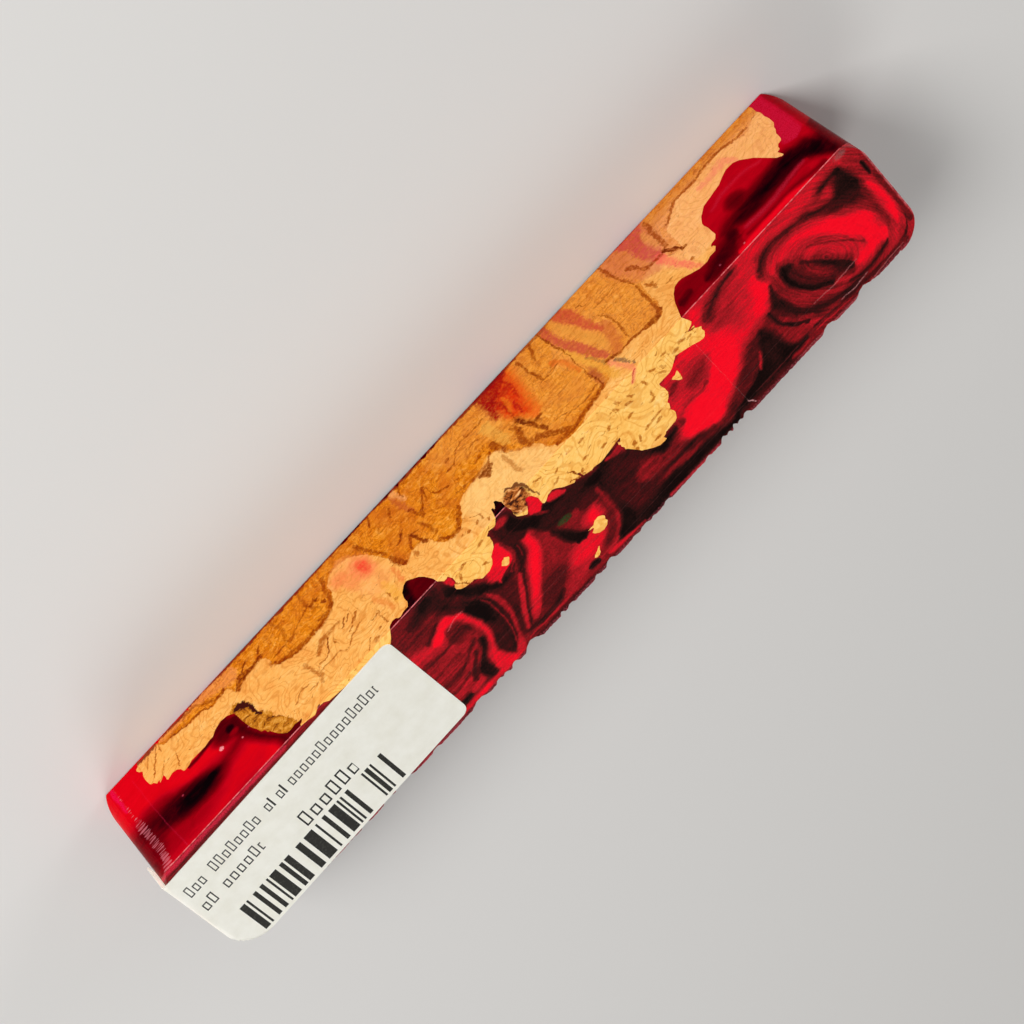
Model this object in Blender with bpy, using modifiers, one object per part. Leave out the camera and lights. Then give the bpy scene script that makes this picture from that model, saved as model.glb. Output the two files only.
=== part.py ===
"""Hybrid pen blank: mallee burl cast in resin, squared up, with a paper label on one end.

The blank lies on its moulded bottom. X runs along it and the label is at the +X end.
The polished front looks along -Y, the sanded face is up and the bandsawn back looks
along +Y. Metres, +Z up, origin under the middle of the footprint.
"""
import math

import bmesh
import bpy
from mathutils import Matrix, Vector

MM = 0.001

# The squared-up blank
BLANK_LENGTH = 127.0 * MM
BLANK_SIDE = 19.4 * MM
FRONT_CORNER_RADIUS = 5.9 * MM      # mould corner, cut short by the polished front
FRONT_CORNER_CENTRE = 5.2 * MM      # its centre, in front of the blank's middle
BACK_CORNER_RADIUS = 4.4 * MM
BOTTOM_END_RADIUS = 2.6 * MM
BOTTOM_EDGE_RADIUS = 0.6 * MM
TOP_EDGE_EASE = 0.35 * MM
ARC_STEPS = 7

# The bandsawn back: two beating waves of upright blade marks, and bites where the saw tore out.
# A bite is its place along X, half width and depth, in mm.
SAW_MARK_PITCH = 3.1 * MM
SAW_SLOW_PITCH = 5.3 * MM
SAW_MARK_DEPTH = 0.08 * MM
SAW_STEP = 0.75 * MM
SAW_BITES = [(-52.3, 2.3, 0.6), (-45.6, 1.6, 0.6), (-28.4, 3.1, 0.9), (-10.9, 1.3, 0.3), (-4.7, 1.4, 0.55),
             (3.0, 1.3, 0.4), (9.9, 2.0, 0.95), (14.6, 2.4, 0.45), (20.2, 2.0, 0.5), (34.4, 2.4, 0.8),
             (41.5, 1.2, 0.65)]

# Burl and resin
FIT_GAP = 0.3 * MM
RESIN_FILM = 0.5 * MM               # resin that ran in under the burl
BURL_SLOPE = math.radians(45.0)     # the natural edge runs back and down through the blank
BURL_REACH = 16.0 * MM              # how far it is carried in front of and behind the lower front edge
BURL_STEPS = 5
DRIFT_SINK = 2.2 * MM               # how the natural edge sinks and wanders before it reaches the back
DRIFT_ALONG = 1.5 * MM
DRIFT_ALONG_PITCH = 29.0 * MM
DRIFT_UP = 1.5 * MM
DRIFT_UP_PITCH = 37.0 * MM
DRIFT_RIPPLE = 0.8 * MM
DRIFT_RIPPLE_PITCH = 13.0 * MM

# The natural edge as it shows: place along X, and height up the front and on across the top, in mm.
# The front is 19.4 high, so a greater height is on the top face.
NATURAL_EDGE = [
    (55.8, -3.0), (55.8, 0.5), (56.6, 1.6), (56.3, 4.6), (55.1, 6.9), (52.6, 7.4), (51.7, 8.7),
    (46.7, 8.2), (43.8, 7.3), (42.1, 8.4), (41.7, 12.6), (40.4, 15.6), (38.5, 18.5), (36.4, 18.7),
    (34.6, 19.8), (31.0, 20.4), (27.0, 20.6), (21.9, 21.0), (20.2, 18.7), (17.0, 18.8), (16.4, 16.4),
    (15.0, 15.2), (13.6, 16.2), (12.5, 18.3), (11.8, 20.1), (10.7, 22.1), (8.9, 23.9), (8.2, 24.7),
    (6.4, 24.5), (4.3, 22.4), (3.7, 20.6), (1.6, 19.7), (0.4, 17.4), (-3.1, 18.0), (-4.1, 19.6),
    (-4.1, 23.0), (-5.9, 23.2), (-8.5, 25.0), (-12.7, 25.8), (-16.5, 25.4), (-16.1, 27.4),
    (-17.5, 29.6), (-19.3, 31.1), (-21.2, 30.4), (-23.3, 30.1),
    (-23.4, 28.0), (-24.7, 25.6), (-26.4, 24.2), (-28.6, 23.0), (-30.5, 23.6), (-32.8, 24.3),
    (-33.4, 22.6), (-32.6, 19.8), (-33.7, 16.4), (-35.9, 14.2), (-38.9, 15.6), (-41.4, 15.4),
    (-43.4, 13.2), (-43.7, 10.2), (-45.8, 7.4), (-48.1, 7.2), (-50.4, 5.9), (-52.0, 5.9), (-53.6, 7.1),
    (-54.8, 9.3), (-56.6, 12.3), (-57.3, 10.6), (-58.6, 8.1), (-59.5, 6.3), (-59.7, 2.8), (-59.5, -3.0)]

# Loose chips cut through by the top face: centre X and Y, long and short half widths and depth in mm,
# and turn in degrees
CHIP_CORNERS = 7
CHIP_UNEVENNESS = 0.16
CHIPS = [(4.5, -3.4, 0.85, 0.60, 1.1, 25), (-6.9, 3.7, 1.25, 0.80, 1.6, -8), (-4.1, 6.8, 0.70, 0.42, 1.0, 20),
         (-27.1, -3.4, 0.70, 0.55, 0.6, 50)]

# The label: a sheet stuck on the top and folded down over the +X end
LABEL_WIDTH = 17.8 * MM
LABEL_LENGTH = 47.6 * MM
LABEL_THICKNESS = 0.2 * MM
LABEL_GAP = 0.3 * MM
LABEL_CORNER = 1.2 * MM
LABEL_FOLD = 0.6 * MM
LABEL_TURN = math.radians(1.25)
LABEL_FREE_END = 21.75 * MM         # the free end's middle, along X
LABEL_SHIFT = -0.05 * MM            # the free end's middle, along Y
LABEL_STATIONS_ALONG = 30
LABEL_STATIONS_ACROSS = 22
LABEL_FLAT_STATIONS = 0.3           # share of the stations that fall on the flat part
LABEL_FLAT_LENGTH = 0.82            # share of the length that they cover

# The label stands out past one end, so the blank sits back by half of that
BLANK_X = -0.5 * (LABEL_GAP + LABEL_THICKNESS)
HALF_LENGTH = BLANK_LENGTH / 2
HALF_SIDE = BLANK_SIDE / 2

for old in list(bpy.data.objects):
    bpy.data.objects.remove(old)

blank_parts = bpy.data.collections.new("hybrid_pen_blank")
cutters = bpy.data.collections.new("cutters")
bpy.context.scene.collection.children.link(blank_parts)
bpy.context.scene.collection.children.link(cutters)


def finish(name, colour, roughness):
    """A plain surface finish for one piece."""
    material = bpy.data.materials.new(name)
    material.use_nodes = True
    shader = material.node_tree.nodes["Principled BSDF"]
    shader.inputs["Base Color"].default_value = (*colour, 1.0)
    shader.inputs["Roughness"].default_value = roughness
    shader.inputs["Metallic"].default_value = 0.0
    return material


def add_part(name, mesh, material):
    """A piece of the blank, in the blank's own collection."""
    part = bpy.data.objects.new(name, mesh)
    part.data.materials.clear()
    part.data.materials.append(material)
    blank_parts.objects.link(part)
    return part


def add_cutter(name, mesh):
    """A shape that only cuts or bounds others."""
    cutter = bpy.data.objects.new(name, mesh)
    cutter.hide_render = True
    cutter.display_type = "WIRE"
    cutters.objects.link(cutter)
    return cutter


def boolean(part, other, operation):
    """Cut or bound a piece by another."""
    modifier = part.modifiers.new(operation.lower() + "_" + other.name, "BOOLEAN")
    modifier.operation = operation
    modifier.solver = "EXACT"
    modifier.object = other


def outline_prism(name, points, depth, placing):
    """The mesh of a flat closed outline made solid, depth / 2 to each side of its plane."""
    curve = bpy.data.curves.new(name, "CURVE")
    curve.dimensions = "2D"
    curve.fill_mode = "BOTH"
    curve.extrude = depth / 2
    spline = curve.splines.new("POLY")
    spline.points.add(len(points) - 1)
    for point, (x, y) in zip(spline.points, points):
        point.co = (x, y, 0.0, 1.0)
    spline.use_cyclic_u = True
    guide = bpy.data.objects.new(name, curve)
    cutters.objects.link(guide)
    evaluated = guide.evaluated_get(bpy.context.evaluated_depsgraph_get())
    mesh = bpy.data.meshes.new_from_object(evaluated)
    bpy.data.objects.remove(guide)
    bm = bmesh.new()
    bm.from_mesh(mesh)
    bmesh.ops.remove_doubles(bm, verts=bm.verts, dist=0.00001)
    bmesh.ops.transform(bm, matrix=placing, verts=bm.verts)
    bmesh.ops.recalc_face_normals(bm, faces=bm.faces)
    bm.to_mesh(mesh)
    bm.free()
    return mesh


def arc(centre_x, centre_y, radius, start, end, steps=ARC_STEPS):
    """Points on an arc, with the angles in degrees."""
    angles = [math.radians(start + (end - start) * i / steps) for i in range(steps + 1)]
    return [(centre_x + radius * math.cos(a), centre_y + radius * math.sin(a)) for a in angles]


def wave(x, length, height):
    """A plain sine along the blank."""
    return height * math.sin(2 * math.pi * x / length)


def back_face_y(x):
    """The bandsawn back: blade marks that never stand past the blank's side, and rounded bites."""
    beat = wave(x, SAW_MARK_PITCH, SAW_MARK_DEPTH / 2) + wave(x, SAW_SLOW_PITCH, SAW_MARK_DEPTH / 2)
    y = HALF_SIDE - SAW_MARK_DEPTH - beat
    for place, half_width, depth in SAW_BITES:
        off = (x - place * MM) / (half_width * MM)
        if abs(off) < 1.0:
            y -= depth * MM * (1.0 - off * off) ** 2
    return y


def plan_outline():
    """The blank seen from above: mould corners at both ends and the sawn back."""
    front_x = HALF_LENGTH - FRONT_CORNER_RADIUS
    cut = math.degrees(math.asin((HALF_SIDE - FRONT_CORNER_CENTRE) / FRONT_CORNER_RADIUS))
    back_x = HALF_LENGTH - BACK_CORNER_RADIUS
    back_y = HALF_SIDE - BACK_CORNER_RADIUS
    right = arc(front_x, -FRONT_CORNER_CENTRE, FRONT_CORNER_RADIUS, -cut, 0.0)
    right += arc(back_x, back_y, BACK_CORNER_RADIUS, 0.0, 90.0)
    left = [(-x, y) for x, y in reversed(right)]
    steps = int(2 * back_x / SAW_STEP)
    back = [back_x - 2 * back_x * i / steps for i in range(1, steps)]
    return right + [(x, back_face_y(x)) for x in back] + left


def side_outline():
    """The blank seen from the front: rounded bottom ends, eased top ends."""
    low = arc(HALF_LENGTH - BOTTOM_END_RADIUS, BOTTOM_END_RADIUS, BOTTOM_END_RADIUS, -90.0, 0.0)
    high = arc(HALF_LENGTH - TOP_EDGE_EASE, BLANK_SIDE - TOP_EDGE_EASE, TOP_EDGE_EASE, 0.0, 90.0, 3)
    right = low + high
    return right + [(-x, z) for x, z in reversed(right)]


def end_outline():
    """The blank seen along its length: eased edges, except the crisp one under the label's long side."""
    r = BOTTOM_EDGE_RADIUS
    e = TOP_EDGE_EASE
    bottom = arc(-HALF_SIDE + r, r, r, 180.0, 270.0, 3) + arc(HALF_SIDE - r, r, r, 270.0, 360.0, 3)
    top = arc(HALF_SIDE - e, BLANK_SIDE - e, e, 0.0, 90.0, 3)
    return bottom + top + [(-HALF_SIDE, BLANK_SIDE)]


def squared_blank():
    """The whole blank's outside, as a bounding shape for the wood and the resin."""
    home = Matrix.Translation((BLANK_X, 0.0, 0.0))
    upright = Matrix.Translation((0.0, 0.0, BLANK_SIDE / 2))
    lying = Matrix.Rotation(math.radians(90.0), 4, "X")
    endways = Matrix.Rotation(math.radians(90.0), 4, "Z") @ lying
    plan = outline_prism("blank_plan", plan_outline(), BLANK_SIDE, home @ upright)
    side = outline_prism("blank_side", side_outline(), 2 * BLANK_SIDE, home @ lying)
    end = outline_prism("blank_end", end_outline(), 2 * BLANK_LENGTH, home @ endways)
    blank = add_cutter("squared_blank", plan)
    boolean(blank, add_cutter("side_bound", side), "INTERSECT")
    boolean(blank, add_cutter("end_bound", end), "INTERSECT")
    return blank


def hidden_drift(x, depth):
    """How the natural edge wanders along X and up the slope on its way to the hidden faces."""
    t = min(max(depth / (BLANK_SIDE * math.sin(BURL_SLOPE)), 0.0), 1.0)
    ease = t * t * (3.0 - 2.0 * t)
    along = wave(x, DRIFT_ALONG_PITCH, DRIFT_ALONG)
    up = wave(x, DRIFT_UP_PITCH, DRIFT_UP) + wave(x, DRIFT_RIPPLE_PITCH, DRIFT_RIPPLE) - DRIFT_SINK
    return along * ease, up * ease


def burl_mesh(name, grow):
    """The burl's natural edge carried through the blank, grown or shrunk for the fit to the resin."""
    slope = math.cos(BURL_SLOPE)
    outline = [(x * MM, s * MM * slope) for x, s in NATURAL_EDGE]
    to_blank = Matrix.Translation((BLANK_X, -HALF_SIDE, 0.0)) @ Matrix.Rotation(BURL_SLOPE, 4, "X")
    mesh = outline_prism(name, outline, 2 * BURL_REACH, Matrix.Identity(4))
    bm = bmesh.new()
    bm.from_mesh(mesh)
    for i in range(BURL_STEPS):
        everything = list(bm.verts) + list(bm.edges) + list(bm.faces)
        level = (0.0, 0.0, -BURL_REACH * i / BURL_STEPS)
        bmesh.ops.bisect_plane(bm, geom=everything, plane_co=level, plane_no=(0.0, 0.0, 1.0))
    for vert in bm.verts:
        along, up = hidden_drift(vert.co.x, -vert.co.z)
        vert.co.x += along
        vert.co.y += up
    bm.normal_update()
    for vert in bm.verts:
        vert.co += vert.normal * grow
    bmesh.ops.transform(bm, matrix=to_blank, verts=bm.verts)
    bmesh.ops.recalc_face_normals(bm, faces=bm.faces)
    bm.to_mesh(mesh)
    bm.free()
    return mesh


def block(name, size, centre):
    """A plain box for cutting."""
    bm = bmesh.new()
    bmesh.ops.create_cube(bm, size=1.0)
    bmesh.ops.transform(bm, matrix=Matrix.Translation(centre) @ Matrix.Diagonal((*size, 1.0)), verts=bm.verts)
    mesh = bpy.data.meshes.new(name)
    bm.to_mesh(mesh)
    bm.free()
    return add_cutter(name, mesh)


def below(height, name):
    """A box that takes away all that is lower than a height."""
    deep = 2 * BLANK_SIDE
    return block(name, (2 * BLANK_LENGTH, 2 * deep, deep), Vector((0.0, 0.0, height - deep / 2)))


def chip_mesh(name, chip, grow):
    """A small many-sided chip that ends at the top face, or its pocket if it is grown."""
    x, y, long_half, short_half, depth, turn = chip
    corners = []
    for i in range(CHIP_CORNERS):
        a = 2 * math.pi * i / CHIP_CORNERS
        uneven = MM * (1.0 + CHIP_UNEVENNESS * math.sin(3.0 * i + x))
        half_x = long_half * uneven + grow
        half_y = short_half * uneven + grow
        corners.append((half_x * math.cos(a), half_y * math.sin(a)))
    thickness = 2 * (depth * MM + grow) if grow else depth * MM
    centre_z = BLANK_SIDE if grow else BLANK_SIDE - thickness / 2
    place = Matrix.Translation((BLANK_X + x * MM, y * MM, centre_z))
    return outline_prism(name, corners, thickness, place @ Matrix.Rotation(math.radians(turn), 4, "Z"))


def end_distance(x, y):
    """How far a point is past the labelled end, with the end's outward direction and its nearest point."""
    back_x = HALF_LENGTH - BACK_CORNER_RADIUS
    back_y = HALF_SIDE - BACK_CORNER_RADIUS
    if y <= back_y or x <= back_x:
        return x - HALF_LENGTH, Vector((1.0, 0.0)), Vector((HALF_LENGTH, y))
    off = Vector((x - back_x, y - back_y))
    out = off.normalized()
    return off.length - BACK_CORNER_RADIUS, out, Vector((back_x, back_y)) + out * BACK_CORNER_RADIUS


def folded_place(x, y):
    """Where a point of the flat label comes to lie once it is stuck down and folded over the end."""
    lift = BLANK_SIDE + LABEL_GAP + LABEL_THICKNESS / 2
    reach = LABEL_GAP + LABEL_THICKNESS / 2
    past, out, foot = end_distance(x, y)
    excess = past - (reach - LABEL_FOLD)
    if excess <= 0.0:
        return Vector((x, y, lift))
    turn = min(excess / LABEL_FOLD, math.pi / 2)
    drop = LABEL_FOLD * (1.0 - math.cos(turn)) + max(excess - LABEL_FOLD * math.pi / 2, 0.0)
    flat = foot + out * (reach - LABEL_FOLD + LABEL_FOLD * math.sin(turn))
    return Vector((flat.x, flat.y, lift - drop))


def corner_inset(across):
    """How much the rounded corner shortens the label at a place across its width."""
    into = abs(across) - (LABEL_WIDTH / 2 - LABEL_CORNER)
    if into <= 0.0:
        return 0.0
    return LABEL_CORNER - math.sqrt(max(LABEL_CORNER ** 2 - into ** 2, 0.0))


def share_of_length(station):
    """Stations are wide apart on the flat part and close together where the label folds."""
    if station < LABEL_FLAT_STATIONS:
        return station * LABEL_FLAT_LENGTH / LABEL_FLAT_STATIONS
    into_fold = (station - LABEL_FLAT_STATIONS) / (1.0 - LABEL_FLAT_STATIONS)
    return LABEL_FLAT_LENGTH + into_fold * (1.0 - LABEL_FLAT_LENGTH)


def label_mesh():
    """A grid that is shaped to the label's outline, turned a little and folded."""
    bm = bmesh.new()
    bmesh.ops.create_grid(bm, x_segments=LABEL_STATIONS_ALONG, y_segments=LABEL_STATIONS_ACROSS, size=1.0)
    turned = Matrix.Rotation(LABEL_TURN, 2)
    for vert in bm.verts:
        share = share_of_length((vert.co.x + 1.0) / 2)
        across = LABEL_WIDTH / 2 * math.sin(vert.co.y * math.pi / 2)
        inset = corner_inset(across)
        along = inset + (LABEL_LENGTH - 2 * inset) * share
        spot = turned @ Vector((along, across)) + Vector((LABEL_FREE_END, LABEL_SHIFT))
        vert.co = folded_place(spot.x, spot.y) + Vector((BLANK_X, 0.0, 0.0))
    mesh = bpy.data.meshes.new("price_label")
    bm.to_mesh(mesh)
    bm.free()
    return mesh


wood_finish = finish("burl_wood", (0.62, 0.33, 0.10), 0.45)
resin_finish = finish("cast_resin", (0.36, 0.005, 0.012), 0.18)
chip_finish = finish("burl_chip", (0.78, 0.50, 0.20), 0.5)
label_finish = finish("label_paper", (0.82, 0.79, 0.72), 0.6)

blank = squared_blank()

burl_wood = add_part("burl_wood", burl_mesh("burl_wood", -FIT_GAP / 2), wood_finish)
boolean(burl_wood, blank, "INTERSECT")
boolean(burl_wood, below(RESIN_FILM + FIT_GAP, "under_burl"), "DIFFERENCE")

burl_room = add_cutter("burl_room", burl_mesh("burl_room", FIT_GAP / 2))
boolean(burl_room, below(RESIN_FILM, "under_room"), "DIFFERENCE")

cast_resin = add_part("cast_resin", blank.data.copy(), resin_finish)
for bound in blank.modifiers:
    boolean(cast_resin, bound.object, "INTERSECT")
boolean(cast_resin, burl_room, "DIFFERENCE")

for number, chip in enumerate(CHIPS, start=1):
    chip_name = "wood_chip_" + str(number)
    pocket = add_cutter(chip_name + "_pocket", chip_mesh(chip_name + "_pocket", chip, FIT_GAP))
    boolean(cast_resin, pocket, "DIFFERENCE")
    add_part(chip_name, chip_mesh(chip_name, chip, 0.0), chip_finish)

price_label = add_part("price_label", label_mesh(), label_finish)
paper = price_label.modifiers.new("paper", "SOLIDIFY")
paper.thickness = LABEL_THICKNESS
paper.offset = 0.0

for part in blank_parts.objects:
    part.data.shade_flat()
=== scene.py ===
"""The looks of a hybrid pen blank: mallee burl cast in red and black resin, with a paper label.

X runs along the blank with the label at +X, the polished front looks along -Y and the sanded
face is up. Shapes are in metres. The patterns are drawn in millimetres on the front and top
unfolded into one sheet: x is the place along the blank, and s is the height up the front and
then on across the top. The front is 19.4 high, so a greater s is on the top.
"""
import math

import bpy
from mathutils import Matrix, Vector


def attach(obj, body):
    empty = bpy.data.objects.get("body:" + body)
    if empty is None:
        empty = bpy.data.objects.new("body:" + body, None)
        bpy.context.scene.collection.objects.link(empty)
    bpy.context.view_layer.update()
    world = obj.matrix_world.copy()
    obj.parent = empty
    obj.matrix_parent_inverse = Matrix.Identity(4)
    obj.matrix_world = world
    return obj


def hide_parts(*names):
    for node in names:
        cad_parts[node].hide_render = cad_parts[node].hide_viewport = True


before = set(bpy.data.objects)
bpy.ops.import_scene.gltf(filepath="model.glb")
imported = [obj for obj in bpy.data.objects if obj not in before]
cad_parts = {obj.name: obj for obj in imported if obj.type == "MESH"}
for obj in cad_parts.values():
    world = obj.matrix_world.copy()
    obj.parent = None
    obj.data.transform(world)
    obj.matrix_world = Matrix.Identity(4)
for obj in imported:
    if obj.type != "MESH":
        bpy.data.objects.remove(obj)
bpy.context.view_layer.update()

MM = 0.001

# The squared-up blank
LENGTH = 127.0 * MM
SIDE = 19.4 * MM
HALF_LENGTH = LENGTH / 2
HALF_SIDE = SIDE / 2
BLANK_X = -0.25 * MM                # the label stands out past one end, so the blank sits back a little
FRONT_CORNER_RADIUS = 5.9 * MM
FRONT_CORNER_CENTRE = 5.2 * MM
BACK_CORNER_RADIUS = 4.4 * MM
BOTTOM_END_RADIUS = 2.6 * MM
BOTTOM_EDGE_RADIUS = 0.6 * MM
TOP_END_EASE = 0.35 * MM
TOP_BACK_EASE = 0.12 * MM
RIDGE_EASE = 0.09 * MM
ARC_STEPS = 20
SHARP_FROM = 25

# The bandsawn back: its fine marks, and the place, half width and depth of each bite, in mm
SAW_STEP = 0.22 * MM
SAW_MARK_DEPTH = 0.08 * MM
BLADE_PITCHES = (3.1 * MM, 5.3 * MM)
TOOTH_PITCH = 0.83 * MM
TOOTH_WANDER = 7.7 * MM
SAW_BITES = [
    (-59.4, 1.2, 0.25), (-53.2, 1.7, 0.4), (-51.9, 1.4, 0.55), (-45.5, 1.5, 0.6), (-38, 0.5, 0.15),
    (-30.2, 0.9, 0.7), (-28.9, 0.8, 0.6), (-28, 0.5, 0.9), (-26.9, 0.6, 0.55), (-25.9, 0.7, 0.75),
    (-22.8, 0.7, 0.35), (-15.2, 0.8, 0.3), (-12.6, 0.5, 0.2), (-10.9, 1, 0.3), (-9, 0.5, 0.15),
    (-4.6, 1.1, 0.65), (-2, 0.7, 0.35), (2.9, 0.7, 0.4), (4.5, 0.5, 0.45), (9.8, 1.8, 1),
    (13.3, 0.8, 0.55), (15, 0.7, 0.45), (16.2, 0.8, 0.45), (19.9, 1.7, 0.6), (28.1, 0.9, 0.25),
    (34.2, 2, 0.95), (37, 1.2, 0.55), (41.5, 0.8, 0.8)]

# How the natural edge wanders before it reaches the hidden faces
BURL_SLOPE = math.radians(45.0)
BURL_REACH = 16.0 * MM
BURL_LEVELS = 9
EDGE_STATION = 0.6
DRIFT_SINK = 2.2
DRIFT_ALONG = (1.5, 29.0)
DRIFT_UP = (1.5, 37.0)
DRIFT_RIPPLE = (0.8, 13.0)
HIDDEN_WAVER = 9.0

# The natural edge, in mm on the unfolded sheet, with the bark and the knot inside it
NATURAL_EDGE = [
    (55.8, -3), (55.9, 0.5), (56.1, 1.2), (56.5, 1.4), (56.6, 1.7), (56.4, 2.2), (56, 2.6), (56.3, 3.3),
    (56.4, 4.2), (56.3, 5.4), (56.1, 5.7), (55.8, 5.8), (55.5, 6.4), (55, 6.2), (55.1, 6.8), (54.2, 6.2),
    (54.1, 6.7), (54.2, 7.2), (54.1, 7.5), (53.1, 7.2), (52.4, 7.4), (52, 7.9), (51.8, 8.6), (51.6, 8.7),
    (50.8, 8.6), (50.2, 8.3), (47.7, 8.4), (46.9, 8.2), (46.2, 8.2), (45.4, 7.6), (44.2, 7.2), (43.1, 7.4),
    (42.2, 8.1), (42.1, 9), (42, 10.5), (41.8, 12), (41.6, 12.8), (41.3, 13.5), (41.1, 14.5), (40.6, 14.8),
    (40.5, 15.5), (40.2, 15.7), (39.9, 16.5), (39.6, 17.2), (39.2, 17.8), (38.7, 18.4), (38, 18.5),
    (37.4, 18.3), (36.8, 18.5), (36.2, 18.5), (36.4, 18.9), (36.8, 19.1), (36.9, 19.4), (35.8, 19.6),
    (34.7, 19.9), (34, 19.5), (33.7, 19.2), (33.3, 19.1), (33.4, 19.4), (32.8, 19.5), (32.2, 20),
    (29, 20.4), (26, 20.6), (21.9, 21), (21.3, 20.4), (20.6, 19.4), (20.4, 18.9), (20.1, 18.7),
    (19.6, 18.5), (19.1, 18.6), (18.8, 19), (18.5, 19.1), (17.7, 18.8), (17, 18.8), (16.6, 18.1),
    (16.6, 17.2), (16.3, 16.2), (15.5, 15.4), (15.1, 15.2), (14.8, 15.2), (13.4, 16.4), (12.9, 17.2),
    (12.3, 18.7), (12.2, 19.6), (11.8, 20.1), (11.6, 20.4), (11.2, 20.4), (10.9, 20.3), (10.8, 20.5),
    (10.6, 21.1), (10.7, 21.9), (11, 22), (11.3, 22.4), (11.3, 22.8), (10.9, 23.3), (10.3, 23.6),
    (9.3, 23.8), (8.9, 23.8), (8.1, 24.7), (6.8, 24.7), (6, 24.3), (5.6, 23.8), (5.4, 23.3), (4.3, 22.5),
    (3.9, 21.8), (3.8, 21.2), (3.7, 20.9), (3.9, 20.5), (3.4, 20.2), (3.3, 20.1), (2.4, 20.3), (2.1, 20.2),
    (1.5, 19.5), (1.2, 18.4), (1.1, 17.8), (0.8, 17.8), (0.8, 18.2), (0.6, 18.1), (0.3, 17.5), (0.2, 17.1),
    (-0.1, 17.2), (-0.3, 17.8), (-0.5, 18.2), (-0.4, 19.4), (-0.6, 20.5), (-0.4, 21.2), (-0.5, 21.9),
    (-1.1, 22.5), (-1.6, 22.9), (-1.9, 22.6), (-2.3, 22), (-2.4, 21.5), (-2.8, 20.9), (-3.2, 21),
    (-3.6, 21.3), (-3.8, 21.8), (-4, 22.3), (-3.9, 23.2), (-3.9, 23.5), (-4.1, 23.7), (-4.5, 23.6),
    (-5.1, 23.2), (-5.9, 23.1), (-6.4, 23.4), (-7.2, 24.2), (-8.5, 25), (-9, 24.8), (-9.2, 25),
    (-9.7, 25.1), (-9.6, 24.8), (-9.5, 24.4), (-9.7, 24.3), (-9.9, 24.9), (-10, 25.3), (-11.2, 25.7),
    (-11.6, 25.6), (-12.8, 25.9), (-16.5, 25.4), (-16.5, 25.6), (-16.2, 25.9), (-15.9, 25.7),
    (-15.8, 26.1), (-16, 26.3), (-15.9, 26.6), (-16.1, 27.1), (-16, 27.4), (-16.3, 27.7), (-17.4, 29.6),
    (-18.7, 30.7), (-19.5, 31.2), (-20.3, 31.3), (-20.7, 31.2), (-20.5, 30.7), (-21, 30.6), (-21.2, 30.4),
    (-23, 30.3), (-23.4, 30.1), (-23.8, 29.3), (-23.8, 28.9), (-23.6, 28.4), (-24, 27.5), (-23.9, 27.2),
    (-24.5, 26.7), (-24.9, 26.1), (-24.9, 25.3), (-24.7, 24.4), (-24.8, 24.1), (-26.7, 24.1),
    (-27.3, 23.9), (-28.7, 22.9), (-31.1, 23.7), (-32.2, 24.2), (-32.8, 24.3), (-33.1, 24.2),
    (-33.5, 23.6), (-33.4, 23.1), (-33.6, 22.7), (-32.9, 22.2), (-33, 21.8), (-32.9, 21.7), (-32.6, 21.7),
    (-32.1, 21.9), (-31.9, 21.7), (-32.8, 21.3), (-33.1, 21), (-33, 20.6), (-32.5, 19.3), (-33.6, 16.3),
    (-34.3, 15.1), (-35.1, 14.3), (-35.9, 14.1), (-36.5, 14.2), (-37.2, 14.6), (-37.7, 14.9),
    (-38.9, 15.5), (-40.1, 15.6), (-40.8, 15.3), (-41.8, 15.3), (-42.3, 14.7), (-42.2, 14.4),
    (-41.9, 14.2), (-42, 14), (-42.3, 13.8), (-43, 13.7), (-43.5, 13.1), (-43.6, 11.1), (-43.5, 10.2),
    (-43.6, 9.7), (-44.2, 8.7), (-45.5, 7.6), (-48.9, 6.9), (-49.9, 6.3), (-51, 5.8), (-52.2, 5.9),
    (-53, 6.5), (-54.3, 8.3), (-55.9, 11.6), (-56.5, 12.2), (-56.8, 12.2), (-56.8, 11.9), (-56.7, 11.5),
    (-56.6, 11), (-57.1, 10.9), (-57.2, 10.4), (-57.5, 10), (-58.1, 9.9), (-58.3, 9.6), (-58.4, 9.1),
    (-58.5, 8.2), (-58.9, 7.6), (-59, 7.1), (-59.5, 6.4), (-59.6, 5.1), (-59.5, 4.1), (-59.6, 3.1),
    (-59.4, 2.3), (-59.5, 1), (-59.4, 0.7), (-59.5, -3)]

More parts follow.
